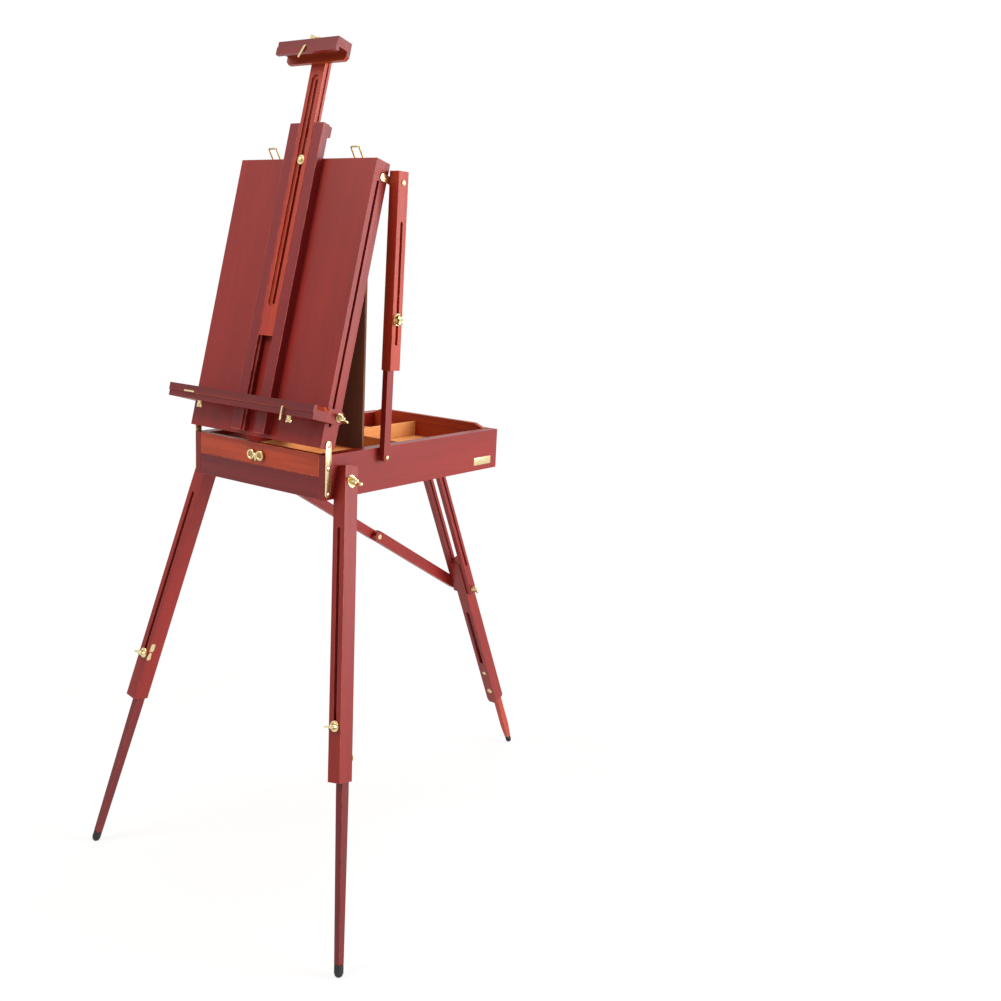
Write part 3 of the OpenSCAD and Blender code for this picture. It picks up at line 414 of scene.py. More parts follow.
slots = {part["node"]: part["material_slot"] for part in frame["record"]["subparts"]}
grainStart = {"first": 1, "amber": 40, "plum": 60}
for count, (node, (look, along, width)) in enumerate(boards.items()):
    wood = woodMaterial(f"{look}_{node}", look, along, count + grainStart["first"])
    other = None
    if node in secondWood:
        other = [woodMaterial(f"{extra}_{node}", extra, along, count + grainStart[extra])
                 for extra in ("amber", "plum")] + [secondWood[node]]
    nodes[node].data.materials.clear()
    nodes[node].data.materials.append(wood)
    easedBoard(node, wood, width, other)
print("boards:", len(boards))


# the shape makers: each shape is made in mm in a layout of its own, outward along Z
def vertsOf(made):
    return [v for v in made["geom"] if isinstance(v, bmesh.types.BMVert)]


def turned(profile, steps=40):
    # a profile of radius and height turned about Z
    bm = bmesh.new()
    line = [bm.verts.new((r, 0, z)) for r, z in profile]
    edges = [bm.edges.new(pair) for pair in zip(line, line[1:])]
    bmesh.ops.spin(bm, geom=line + edges, cent=(0, 0, 0), axis=(0, 0, 1), angle=2 * pi, steps=steps,
                   use_merge=True)
    bmesh.ops.remove_doubles(bm, verts=bm.verts, dist=1e-4)
    bmesh.ops.recalc_face_normals(bm, faces=bm.faces)
    return bm


def oblong(left, low, right, high):
    return [(left, low), (right, low), (right, high), (left, high)]


def plate(outline, thick, corner=0.0, rim=0.3, cornerSteps=5):
    # an outline in X and Z made thick about Y, its corners and rims rounded
    bm = bmesh.new()
    bm.faces.new([bm.verts.new((x, -thick / 2, z)) for x, z in outline])
    if corner:
        rounded(bm, list(bm.verts), corner, cornerSteps, "VERTICES")
    made = bmesh.ops.extrude_face_region(bm, geom=bm.faces[:])
    bmesh.ops.translate(bm, verts=vertsOf(made), vec=(0, thick, 0))
    bmesh.ops.recalc_face_normals(bm, faces=bm.faces)
    if rim:
        rounded(bm, [e for e in bm.edges if abs(e.verts[0].co.y - e.verts[1].co.y) < 1e-5], rim)
    return bm


def softened(path, bend, steps=6):
    # a path with its corners bent to a radius
    soft = [path[0]]
    for before, here, after in zip(path, path[1:], path[2:]):
        start, end = here + (before - here).normalized() * bend, here + (after - here).normalized() * bend
        for i in range(steps + 1):
            t = i / steps
            soft.append(start * (1 - t) ** 2 + here * 2 * t * (1 - t) + end * t * t)
    return soft + [path[-1]]


def wire(points, radius, bend):
    # a rod along a path
    path = softened([Vector(p) for p in points], bend)
    curve = bpy.data.curves.new("wire", "CURVE")
    curve.dimensions, curve.bevel_depth, curve.bevel_resolution, curve.use_fill_caps = "3D", radius, 3, True
    spline = curve.splines.new("POLY")
    spline.points.add(len(path) - 1)
    for point, place in zip(spline.points, path):
        point.co = (*place, 1)
    holder = bpy.data.objects.new("wire", curve)
    mesh = bpy.data.meshes.new_from_object(holder)
    bm = bmesh.new()
    bm.from_mesh(mesh)
    bmesh.ops.remove_doubles(bm, verts=bm.verts, dist=1e-4)
    for made, home in ((holder, bpy.data.objects), (mesh, bpy.data.meshes), (curve, bpy.data.curves)):
        home.remove(made)
    return bm


def joined(*shapes):
    # several shapes in one mesh
    whole = bmesh.new()
    for shape in shapes:
        part = bpy.data.meshes.new("part")
        shape.to_mesh(part)
        shape.free()
        whole.from_mesh(part)
        bpy.data.meshes.remove(part)
    return whole


def moved(bm, place):
    bmesh.ops.transform(bm, matrix=place, verts=bm.verts)
    return bm


def several(maker, places):
    # one shape repeated at several places
    return joined(*[moved(maker(), place) for place in places])


facing = {"Z": still, "-Z": Matrix.Rotation(pi, 4, "X"),
          "X": Matrix.Rotation(pi / 2, 4, "Y"), "-X": Matrix.Rotation(-pi / 2, 4, "Y"),
          "Y": Matrix.Rotation(-pi / 2, 4, "X"), "-Y": Matrix.Rotation(pi / 2, 4, "X")}


def at(x=0, y=0, z=0, way="Z", spin=0):
    # a place whose Z points along way, first turned about that Z
    return Matrix.Translation((x, y, z)) @ facing[way] @ Matrix.Rotation(radians(spin), 4, "Z")


def atSide(x, y, z):
    # a place for a plate that lies against the box's or the lid's side
    return Matrix.Translation((x, y, z)) @ quarterTurn


def fit(name, bm, place, material, node, smoothAngle=35):
    # a shape in mm set in a layout in metres, riding with a node's body
    moved(bm, place @ Matrix.Scale(mm, 4))
    bmesh.ops.recalc_face_normals(bm, faces=bm.faces)
    return finishMesh(name, bm, material, bodyOf(node), smoothAngle)


def hardware(node, home, *shapes):
    # the pieces that stand for one node: name, shape, place and material; the first replaces the node
    for count, (name, shape, place, material) in enumerate(shapes):
        piece = fit(f"{node}_{name}", moved(shape, place), home, material, node)
        if count == 0:
            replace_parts(piece, node)


def rod(radius, low, high, ease=0.3):
    return turned([(0, low), (radius - ease, low), (radius, low + ease), (radius, high - ease),
                   (radius - ease, high), (0, high)], 28)


def threaded(radius, low, high, pitch=0.8, core=0.86):
    # a screw's end with its ridges and a chamfered tip
    ridges = [(0, low)]
    count = max(1, int((high - low - 0.5) / pitch))
    for i in range(count):
        z = low + i * pitch
        ridges += [(radius * core, z), (radius, z + pitch / 2)]
    ridges += [(radius * core, low + count * pitch), (radius * 0.6, high), (0, high)]
    return turned(ridges, 24)


def washer(size, thick=1.2, hole=4.0, ease=0.35):
    # a round washer with its rim eased
    r = size / 2
    return turned([(hole / 2, 0), (r - ease, 0), (r, ease), (r, thick - ease), (r - ease, thick),
                   (hole / 2, thick), (hole / 2, 0)], 48)


def wingNut(values):
    # washer, a hub that narrows upward, two wings swept up and outward, and the screw's end
    values = nutCommon | values
    hub, tall, span, lobe = values["hub"] / 2, values["tall"], values["span"] / 2, values["lobe"]
    body = turned([(2, 1.2), (hub - 0.4, 1.2), (hub, 1.7), (hub - 0.15, 3), (hub * 0.8, tall - 1.0),
                   (hub * 0.72, tall), (2.1, tall), (2, tall - 0.6), (2, 1.2)], 40)
    top = tall + lobe / 2
    outline = [(hub * 0.45, 2.6), (hub + 1.0, 3.2), (span - 1.4, tall - lobe * 0.55), (span, tall),
               (span - 0.8, top - 0.2), (span - lobe * 0.55, top), (span - lobe * 0.95, tall + 0.4),
               (hub * 0.5, tall - 1.6)]
    wing = plate(outline, values["wing"], lobe * 0.24, values["wing"] * 0.36)
    other = moved(wing.copy(), Matrix.Rotation(pi, 4, "Z"))
    end = threaded(values["screw"] / 2, 0, values["end"])
    return joined(washer(values["washer"]), body, wing, other, end)


def lobedKnob(values):
    # washer and a hub ringed by four round lobes
    hub, tall, out = values["hub"] / 2, values["tall"], values["span"] / 2 - 3.7
    body = turned([(2, 1.2), (hub, 1.4), (hub, tall - 1.2), (hub - 1, tall), (2.6, tall), (2, tall - 0.6),
                   (2, 1.2)], 40)
    shapes = [washer(values["washer"]), body, threaded(2.8, 0, values["end"])]
    for count in range(4):
        lobe = turned([(0, 2.6), (2.2, 2.8), (3.4, 3.8), (3.7, 5.2), (3.4, tall - 1.4), (2.4, tall - 0.5),
                       (0, tall - 0.2)], 24)
        turn = Matrix.Rotation(count * pi / 2 + pi / 4, 4, "Z")
        shapes.append(moved(lobe, turn @ Matrix.Translation((out, 0, 0))))
    return joined(*shapes)


def screwHead(size, high, slotted=True, turn=0):
    # a low domed head, its slot cut as a groove across the top
    r = size / 2
    bm = turned([(0, 0), (r - 0.2, 0), (r, 0.2), (r * 0.97, high * 0.5), (r * 0.72, high * 0.86),
                 (r * 0.36, high), (0, high)], 36)
    if not slotted:
        return bm
    w = max(0.35, r * 0.13)
    for x in (-w, w):
        bmesh.ops.bisect_plane(bm, geom=bm.verts[:] + bm.edges[:] + bm.faces[:], dist=1e-5,
                               plane_co=(x, 0, 0), plane_no=(1, 0, 0))
    groove = [v for v in bm.verts if abs(v.co.x) < w + 1e-4 and v.co.z > 0.35 * high]
    inner = [f for f in bm.faces if all(v in groove for v in f.verts)]
    sunk = vertsOf(bmesh.ops.extrude_face_region(bm, geom=inner))
    bmesh.ops.delete(bm, geom=inner, context="FACES")
    for v in sunk:
        v.co.z = high * 0.42
    return moved(bm, Matrix.Rotation(radians(turn), 4, "Z"))


def shadeRingShape(size, deep):
    # a thin dark ring round a countersunk screw: painted shade of the hollow it sits in
    r = size / 2
    return turned([(r * 0.55, deep), (r, deep), (r, 0), (r * 0.55, 0), (r * 0.55, deep)], 36)


print("shape makers ready")

# the fittings: sizes are in mm and X is to the painter's right
outward = {"left": "-X", "right": "X"}

# the wing nuts and the arms' lobed knob
nutCommon = {"wing": 2.6, "screw": 5.5}
nuts = {
    "ledge_end": {"washer": 16, "hub": 11, "tall": 8, "span": 28, "lobe": 11, "end": 13.4},
    "ledge_clamp": {"washer": 12, "hub": 9, "tall": 8, "span": 20, "lobe": 9, "end": 11},
    "head": {"washer": 12, "hub": 9, "tall": 8, "span": 20, "lobe": 10, "end": 11},
    "leg_head": {"washer": 23, "hub": 12, "tall": 10, "span": 32, "lobe": 11, "end": 15.4, "screw": 6},
    "leg_slot": {"washer": 20, "hub": 12, "tall": 9, "span": 27, "lobe": 11, "end": 14},
    "rear_clamp": {"washer": 13, "hub": 10, "tall": 8, "span": 24, "lobe": 10, "end": 12},
}
knob = {"washer": 22, "hub": 13, "tall": 11, "span": 22, "end": 14.2}

# the brass on the box's sides: hinge straps, their screws and the arms' pivots
strap = {"half": 7, "low": 3.6, "pin": 100.3, "thick": 2, "rim": 0.35, "y": 8, "face": 175.3, "steps": 10,
         "screws": (10.6, 58, 100.3), "head": 7.6, "high": 1.0, "turns": (35, 85, 135), "seat": 2.6,
         "seatDeep": 0.12, "pinRadius": 2, "pinLong": 9}
armPivot = {"y": 150, "z": 64, "x": 190, "spacer": 14, "thick": 2.0, "head": 8.4, "high": 2.6, "turn": 20,
            "shank": 2.5, "deep": 22}


def strapShape(values):
    h = values["half"]
    outline = oblong(-h, values["low"], h, values["pin"] + h)
    return plate(outline, values["thick"], h * 0.999, values["rim"], values["steps"])


sideShapes = []
for side, sign in sides.items():
    way, x, y = outward[side], sign * strap["face"], strap["y"]
    faceX = x + sign * strap["thick"]
    screws = [at(faceX, y, z, way, spin) for z, spin in zip(strap["screws"], strap["turns"])]
    seats = [at(faceX, y, z, way) for z in strap["screws"]]
    pivot = joined(screwHead(armPivot["head"], armPivot["high"], turn=armPivot["turn"]),
                   rod(armPivot["shank"], -armPivot["deep"], 0.2))
    sideShapes += [
        (f"strap_{side}", strapShape(strap), atSide(x + sign * strap["thick"] / 2, y, 0), brass),
        (f"strap_screws_{side}", several(lambda: screwHead(strap["head"], strap["high"]), screws),
         still, brass),
        # dark rings round the strap screws: painted shade
        (f"strap_seats_{side}",
         several(lambda: shadeRingShape(strap["head"] + strap["seat"], strap["seatDeep"]), seats), still, seat),
        (f"hinge_pin_{side}", rod(strap["pinRadius"], -strap["pinLong"], 0),
         at(x, y, strap["pin"], way), brass),
        (f"pivot_spacer_{side}", washer(armPivot["spacer"], armPivot["thick"]),
         at(x, armPivot["y"], armPivot["z"], way), brass),
        (f"pivot_screw_{side}", pivot, at(sign * armPivot["x"], armPivot["y"], armPivot["z"], way), brass),
    ]
hardware("box_side_brass", boxHome, *sideShapes)

# the brass on the rear wall: latch plates with hooks and the handle's lugs
latch = {"x": 107, "y": 520.8, "z": 64, "half": 8, "up": 10, "thick": 1.6, "corner": 2.5,
         "screw": 4, "high": 0.7, "screwAcross": 4.6, "screwY": 521.6, "screwZ": 58, "turn": 30}
hook = {"y": 527.6, "z": 65.1, "half": 6, "low": -2, "up": 3, "thick": 1.5, "corner": 0.8}
hookRoot = {"y": 525.0, "z": 67.05, "up": 2.9, "thick": 6.6, "corner": 0.4}
lug = {"x": 82.934, "y": 522, "z": 64, "thick": 8, "corner": 0.6, "rim": 0.4,
       "outline": [(0, -5), (8, -5), (10.5, -4), (13, 0), (10.5, 4), (8, 5), (0, 5)]}
lugPlate = {"x": 78.934, "y": 521, "wide": 13, "up": 10, "thick": 2, "corner": 2,
            "screw": 3.6, "high": 0.6, "screwX": 89.4, "screwZ": (57.5, 70.5), "turn": 10}

rearShapes = []
for side, sign in sides.items():
    x, h, up, wide = sign * latch["x"], latch["half"], latch["up"], lugPlate["wide"]
    latchScrews = [at(x + dx, latch["screwY"], latch["screwZ"], "Y", latch["turn"])
                   for dx in (-latch["screwAcross"], latch["screwAcross"])]
    lugScrews = [at(sign * lugPlate["screwX"], lug["y"], z, "Y", lugPlate["turn"])
                 for z in lugPlate["screwZ"]]
    lugOutline = oblong(min(0, sign * wide), -lugPlate["up"], max(0, sign * wide), lugPlate["up"])
    rearShapes += [
        (f"latch_{side}", plate(oblong(-h, -up, h, up), latch["thick"], latch["corner"]),
         at(x, latch["y"], latch["z"]), brass),
        (f"hook_{side}",
         plate(oblong(-hook["half"], hook["low"], hook["half"], hook["up"]), hook["thick"], hook["corner"]),
         at(x, hook["y"], hook["z"]), brass),
        (f"hook_root_{side}",
         plate(oblong(-hook["half"], 0, hook["half"], hookRoot["up"]), hookRoot["thick"], hookRoot["corner"]),
         at(x, hookRoot["y"], hookRoot["z"]), brass),
        (f"latch_screws_{side}", several(lambda: screwHead(latch["screw"], latch["high"]), latchScrews),
         still, brass),
        (f"lug_plate_{side}", plate(lugOutline, lugPlate["thick"], lugPlate["corner"]),
         at(sign * lugPlate["x"], lugPlate["y"], lug["z"]), brass),
        (f"lug_{side}", plate(lug["outline"], lug["thick"], lug["corner"], lug["rim"]),
         atSide(sign * lug["x"], lug["y"], lug["z"]), brass),
        (f"lug_screws_{side}", several(lambda: screwHead(lugPlate["screw"], lugPlate["high"]), lugScrews),
         still, brass),
    ]
hardware("box_rear_brass", boxHome, *rearShapes)

# the drawer's catch: two rings hung on a hub with a short stem
catchPull = {
    "z": 59.65, "across": 12, "ring": 19, "ringThick": 3.4, "ringY": -4.5, "cupY": -3.3,
    "cup": [(0, 0), (7.6, 0), (7.8, 0.3), (7.2, 0.9), (3, 0.5), (0, 0.4)],
    "hub": [(0, 0.3), (4.5, 0.3), (4.5, 1.2), (3.2, 2.2), (3.2, 5.6), (4.2, 6.2), (4.2, 7.2), (3.2, 8),
            (0, 8)],
    "stem": [(-2, -10.5), (2, -10.5), (2.4, -6), (1.7, -3), (-1.7, -3), (-2.4, -6)],
    "stemThick": 1.8, "stemCorner": 1.0, "stemY": -4.2,
}


def ring(size, thick, ease=0.5):
    # a flat ring with its four rims eased
    inner, outer, low, high = size / 2 - thick, size / 2, -thick / 2, thick / 2
    return turned([(inner, low + ease), (inner + ease, low), (outer - ease, low), (outer, low + ease),
                   (outer, high - ease), (outer - ease, high), (inner + ease, high), (inner, high - ease),
                   (inner, low + ease)], 48)


def pairAt(values, y):
    return [at(x, y, values["z"], "-Y") for x in (-values["across"], values["across"])]


hardware("drawer_catch", boxHome,
         ("rings", several(lambda: ring(catchPull["ring"], catchPull["ringThick"]),
                           pairAt(catchPull, catchPull["ringY"])), still, brass),
         ("cups", several(lambda: turned(catchPull["cup"], 40), pairAt(catchPull, catchPull["cupY"])),
          still, dullBrass),
         ("hub", turned(catchPull["hub"], 36), at(0, 0, catchPull["z"], "-Y"), brass),
         ("stem", plate(catchPull["stem"], catchPull["stemThick"], catchPull["stemCorner"]),
          at(0, catchPull["stemY"], catchPull["z"]), brass))

# the ledge's wing nuts: one at each end of the moulding and one under each keeper
endNut = {"x": 193, "y": 13.5, "z": 58.5, "spin": 62, "stud": 2.4, "deep": 26}
keeperNut = {"x": 120, "y": -34.8, "z": 46, "spin": 18, "screw": 1.9, "long": 11}
ledgeShapes = []
for side, sign in sides.items():
    end = (sign * endNut["x"], endNut["y"], endNut["z"], outward[side])
    under = (sign * keeperNut["x"], keeperNut["y"], keeperNut["z"])
    ledgeShapes += [
        (f"end_nut_{side}", wingNut(nuts["ledge_end"]), at(*end, endNut["spin"]), brass),
        (f"end_stud_{side}", rod(endNut["stud"], -endNut["deep"], 0), at(*end), brass),
        (f"clamp_nut_{side}", wingNut(nuts["ledge_clamp"]), at(*under, "-Z", keeperNut["spin"]), brass),
        (f"clamp_screw_{side}", rod(keeperNut["screw"], 0, keeperNut["long"]), at(*under), brass),
    ]
hardware("ledge_brass", lidHome, *ledgeShapes)


def nutOnShaft(node, home, values, sign=1):
    # a wing nut that is a node of its own, with its shaft behind it
    place = (sign * values["x"], values["y"], values["z"], values["way"])
    hardware(node, home, ("nut", wingNut(nuts[values["kind"]]), at(*place, values["spin"]), brass),
             ("shaft", rod(values["shank"], -values["deep"], 0), at(*place), brass))


headNut = {"kind": "head", "x": 0, "y": -34.8, "z": 722, "way": "Z", "spin": 52, "shank": 2.4, "deep": 11}
nutOnShaft("head_screw", lidHome, headNut)

# the keepers: rods bent square, one leg in the moulding's bore
keeper = {"radius": 1.8, "long": 24, "rise": 0.4, "bend": 3.2,
          "tip": [(0, -1.4), (1.0, -1.2), (1.8, 0), (0, 0)],
          "angles": {"head_keeper": 30, "ledge_keeper_left": 90, "ledge_keeper_right": 0}}


def keeperRod(values, inner):
    low = values["rise"] - values["long"]
    return joined(wire([(0, inner, 0), (0, 0, 0), (0, 0, low)], values["radius"], values["bend"]),
                  moved(turned(values["tip"], 20), at(0, 0, low)))


for node, angle in keeper["angles"].items():
    place = lidHome.inverted() @ placeOf(node + "_turn")
    low, high = extent(node, lidHome)
    bent = lidHome @ Matrix.Translation(place) @ Matrix.Rotation(radians(angle), 4, "Y")
    place = place / mm
    front = low.y / mm + keeper["radius"] - place.y
    hardware(node, bent, ("rod", keeperRod(keeper, high.y / mm - place.y - front), at(0, front, 0), brass))

# the arms: a lobed knob over the slot and the upper screw
armBrass = {"knobX": 200.3, "knobTurn": 10, "screwX": 200, "head": 11, "high": 3, "headTurn": 40,
            "shank": 2.4, "deep": 22}


def middleUp(node, home):
    low, high = extent(node, home)
    return (low.z + high.z) / 2 / mm


for side, sign in sides.items():
    home, way = armHome[side], outward[side]
    knobAt = (sign * armBrass["knobX"], 0, middleUp(f"arm_nut_{side}", home), way)
    screwAt = (sign * armBrass["screwX"], 0, middleUp(f"arm_screw_{side}", home), way)
    hardware(f"arm_nut_{side}", home, ("knob", lobedKnob(knob), at(*knobAt, armBrass["knobTurn"]), brass),
             ("shaft", rod(armBrass["shank"], -armBrass["deep"], 0), at(*knobAt), brass))
    head = screwHead(armBrass["head"], armBrass["high"], turn=armBrass["headTurn"])
    hardware(f"arm_screw_{side}", home,
             ("head", joined(head, rod(armBrass["shank"], -armBrass["deep"], 0.2)), at(*screwAt), brass))

# the lid: corner brackets, bail eyes and the mast's bolt
bracket = {"long": 36, "half": 7, "thick": 2, "rim": 0.35, "steps": 9, "x": 176.3, "y": 34, "s": 492,
           "screwX": 176.9, "screws": (21, 30), "head": 5, "high": 0.5, "turn": 25}
bail = {"x": 107, "y": 29, "s": 524.5, "lean": 45, "half": 10, "end": 16.3, "long": 28, "radius": 1.5,
        "bend": 2.6, "eyeAcross": 14.5, "eyeThick": 4.4, "eyeCorner": 0.5, "eyeRim": 0.4,
        "eye": [(-4, -4.5), (4, -4.5), (4, 0), (2.8, 2.8), (0, 3.5), (-2.8, 2.8), (-4, 0)]}
mastBolt = {"y": -12.3, "s": 514, "washer": 18, "thick": 1.5, "shank": 2.4, "deep": 26,
            "head": [(0, 1.4), (5, 1.4), (5, 2.6), (4.6, 4.4), (3.4, 5.6), (1.8, 6.3), (0, 6.5)]}

lidShapes = []
for side, sign in sides.items():
    h, long = bracket["half"], bracket["long"] / 2
    screws = [at(sign * bracket["screwX"], y, bracket["s"], outward[side]) for y in bracket["screws"]]
    eyes = [atSide(sign * bail["x"] + dx, bail["y"], bail["s"])
            for dx in (-bail["eyeAcross"], bail["eyeAcross"])]
    lidShapes += [
        (f"bracket_{side}",
         plate(oblong(-long, -h, long, h), bracket["thick"], h * 0.98, bracket["rim"], bracket["steps"]),
         atSide(sign * bracket["x"], bracket["y"], bracket["s"]), brass),
        (f"bracket_screws_{side}",
         several(lambda: screwHead(bracket["head"], bracket["high"], turn=bracket["turn"]), screws),
         still, brass),
        (f"bail_eyes_{side}",
         several(lambda: plate(bail["eye"], bail["eyeThick"], bail["eyeCorner"], bail["eyeRim"]), eyes),
         still, brass),
    ]
boltAt = at(0, mastBolt["y"], mastBolt["s"], "-Y")
lidShapes += [
    ("mast_washer", washer(mastBolt["washer"], mastBolt["thick"]), boltAt, brass),
    ("mast_bolt", turned(mastBolt["head"], 40), boltAt, brass),
    ("mast_shaft", rod(mastBolt["shank"], -mastBolt["deep"], 1), boltAt, brass),
]
hardware("lid_brass", lidHome, *lidShapes)
for side, sign in sides.items():
    place = Matrix.Translation(Vector((sign * bail["x"], bail["y"], bail["s"])) * mm)
    half, end, long = bail["half"], bail["end"], bail["long"]
    path = [(-end, 0, 0), (-half, 0, 0), (-half, 0, long), (half, 0, long), (half, 0, 0), (end, 0, 0)]
    hardware(f"bail_{side}", lidHome @ place @ Matrix.Rotation(radians(bail["lean"]), 4, "X"),
             ("wire", wire(path, bail["radius"], bail["bend"]), still, dullBrass))

# the front legs: the head's bolt and wing nut, the keeper plate and the slot's wing nut
legBolt = {"x": 28, "z": 29.4, "nutTurn": 66, "shank": 2.4, "long": 44, "head": 12, "high": 3.3, "turn": 15,
           "headZ": -43.3}
legPlate = {"x": 21, "y": 16.5, "z": -464, "screw": 4, "high": 0.6, "screwX": 25, "screwY": 18.5, "apart": 4,
            "turn": 30, "profile": [(0, 0), (8.2, 0), (8.5, 0.3), (8.5, 1.7), (8.2, 2), (0, 2)]}
legSlotNut = {"kind": "leg_slot", "x": 14, "y": -16.8, "z": -406, "way": "-Y", "spin": 4, "shank": 2.4,
              "deep": 24}


def legOutward(side):
    # the outer face's sign and the way out of it, in the leg's own layout
    low, high = extent(f"leg_{side}", legPlace[side])
    return (1, "X") if high.x > -low.x else (-1, "-X")


for side in sides:
    sign, way = legOutward(side)
    head = moved(screwHead(legBolt["head"], legBolt["high"], turn=legBolt["turn"]),
                 at(0, 0, legBolt["headZ"], "-Z"))
    boltAt = (sign * legBolt["x"], 0, legBolt["z"], way)
    screwX, screwY, apart = sign * legPlate["screwX"], legPlate["screwY"], legPlate["apart"]
    plateScrews = [at(screwX, screwY, legPlate["z"] + dz, "Y", legPlate["turn"]) for dz in (-apart, apart)]
    hardware(f"leg_brass_{side}", legPlace[side],
             ("nut", wingNut(nuts["leg_head"]), at(*boltAt, legBolt["nutTurn"]), brass),
             ("bolt", joined(rod(legBolt["shank"], -legBolt["long"], 0), head), at(*boltAt), brass),
             ("plate", turned(legPlate["profile"], 48),
              at(sign * legPlate["x"], legPlate["y"], legPlate["z"], "Y"), brass),
             ("plate_screws", several(lambda: screwHead(legPlate["screw"], legPlate["high"]), plateScrews),
              still, dullBrass))
    nutOnShaft(f"leg_nut_{side}", legPlace[side], legSlotNut, sign)

# a small folding catch on each front leg's inner face
legCatch = {"wide": 11, "long": 17, "thick": 0.2, "rim": 0.1, "off": 0.02, "y": -10.5, "z": -390,
            "leafCorner": 1.6, "tongueY": -12.5, "tongueZ": -409, "tongueCorner": 1.4,
            "pin": 3, "pinHigh": 0.1, "pins": ((-2, 4), (2, -1))}
inward = {"X": "-X", "-X": "X"}
for side in sides:
    sign, way = legOutward(side)
    w, h, thick, y, z = [legCatch[key] for key in ("wide", "long", "thick", "y", "z")]
    w, h = w / 2, h / 2
    leaf = plate([(-w, -h), (w * 0.7, -h), (w, -h * 0.4), (w, h), (-w * 0.8, h)], thick,
                 legCatch["leafCorner"], legCatch["rim"])
    tongue = plate([(-w * 0.5, -h), (w, -h * 0.8), (w * 0.7, h), (-w * 0.2, h * 0.9), (-w * 0.9, -h * 0.2)],
                   thick, legCatch["tongueCorner"], legCatch["rim"])
    x, pinX = -sign * (thick / 2 + legCatch["off"]), -sign * (thick + legCatch["off"] / 2)
    pins = several(lambda: screwHead(legCatch["pin"], legCatch["pinHigh"], False),
                   [at(pinX, y + dy, z + dz, inward[way]) for dy, dz in legCatch["pins"]])
    shape = joined(moved(leaf, atSide(x, y, z)),
                   moved(tongue, atSide(x, legCatch["tongueY"], legCatch["tongueZ"])), pins)
    fit(f"leg_catch_{side}", shape, legPlace[side], brass, f"leg_brass_{side}")

# the rear leg: two domed screws at the block's foot and the clamp's wing nut
# each holds a screw's size, height, place across and place along
blockScrews = {"y": -13, "turn": 20, "each": [(9.5, 1.3, 0, -656), (13, 1.6, 1.5, -716)]}
rearNut = {"kind": "rear_clamp", "x": 26.3, "y": 0, "z": -388, "way": "X", "spin": 12, "shank": 1.9,
           "deep": 12}
heads = [moved(screwHead(size, high, turn=blockScrews["turn"]), at(x, blockScrews["y"], z, "-Y"))
         for size, high, x, z in blockScrews["each"]]
fit("block_screws", joined(*heads), rearHome, brass, "rear_block")
nutOnShaft("rear_clamp_screw", rearHome, rearNut)

# the nameplate, left bare
namePlate = {"x": 174.9, "y": 471.5, "z": 19, "long": 57, "high": 16, "thick": 0.3, "corner": 1.6, "rim": 0.2,
             "screw": 2.2, "screwHigh": 0.08, "screwAcross": 24.5}


def nameplateShape(values):
    h, v, out = values["long"] / 2, values["high"] / 2, values["thick"] / 2
    sheet = plate(oblong(-h, -v, h, v), values["thick"], values["corner"], values["rim"])
    screws = [moved(screwHead(values["screw"], values["screwHigh"], False), at(out, y, 0, "X"))
              for y in (-values["screwAcross"], values["screwAcross"])]
    return joined(moved(sheet, quarterTurn), *screws)


nameplateAt = at(namePlate["x"], namePlate["y"], namePlate["z"])
fit("nameplate", moved(nameplateShape(namePlate), nameplateAt), boxHome, brass, "box_side_brass")

# the carrying handle: a round bar bent to an arc and thinner toward its ends, hung on two pins
grip = {"y": 530, "z": 64, "radius": 89, "up": 60.8, "thick": 15.6, "end": 0.62, "reach": 50.0, "rim": 1.2,
        "pin": (64, 85.6), "pinRadius": 1.9}


def gripShape(values):
    bm = bmesh.new()
    reach, centre = radians(values["reach"]), Vector((0, 0, values["up"]))
    start = Matrix.Rotation(reach, 4, "Y") @ Matrix.Translation((0, 0, -values["radius"]))
    bmesh.ops.create_circle(bm, cap_ends=False, segments=28, radius=values["thick"] / 2,
                            matrix=Matrix.Translation(centre) @ start @ Matrix.Rotation(pi / 2, 4, "Y"))
    bmesh.ops.spin(bm, geom=bm.verts[:] + bm.edges[:], cent=centre, axis=(0, -1, 0), angle=2 * reach,
                   steps=40)
    for v in bm.verts:
        around = Vector((v.co.x, 0, v.co.z)) - centre
        spine = centre + around.normalized() * values["radius"]
        share = min(1, abs(around.angle(Vector((0, 0, -1)))) / reach)
        v.co = spine + (v.co - spine) * (1 - (1 - values["end"]) * share ** 2)
    bmesh.ops.holes_fill(bm, edges=[e for e in bm.edges if len(e.link_faces) == 1], sides=0)
    rounded(bm, [e for e in bm.edges if any(len(f.verts) > 4 for f in e.link_faces)], values["rim"], 3)
    return bm


gripWood = woodMaterial("plum_handle", "plum", xAxis, 71)
hardware("handle", boxHome,
         ("bar", gripShape(grip), at(0, grip["y"], grip["z"]), gripWood),
         ("pins", several(lambda: rod(grip["pinRadius"], *grip["pin"]),
                          [at(0, grip["y"], grip["z"], way) for way in ("X", "-X")]), still, brass))

# each foot's rubber: its height, the tenon it is pushed on and the layout it is set in
feet = {
    "foot_left": (14, 12, legPlace["left"]), "foot_right": (14, 12, legPlace["right"]),
    "rear_foot": (12, 8, rearHome),
}
footRidges = {"count": 5, "deep": 0.55, "clear": 0.02}


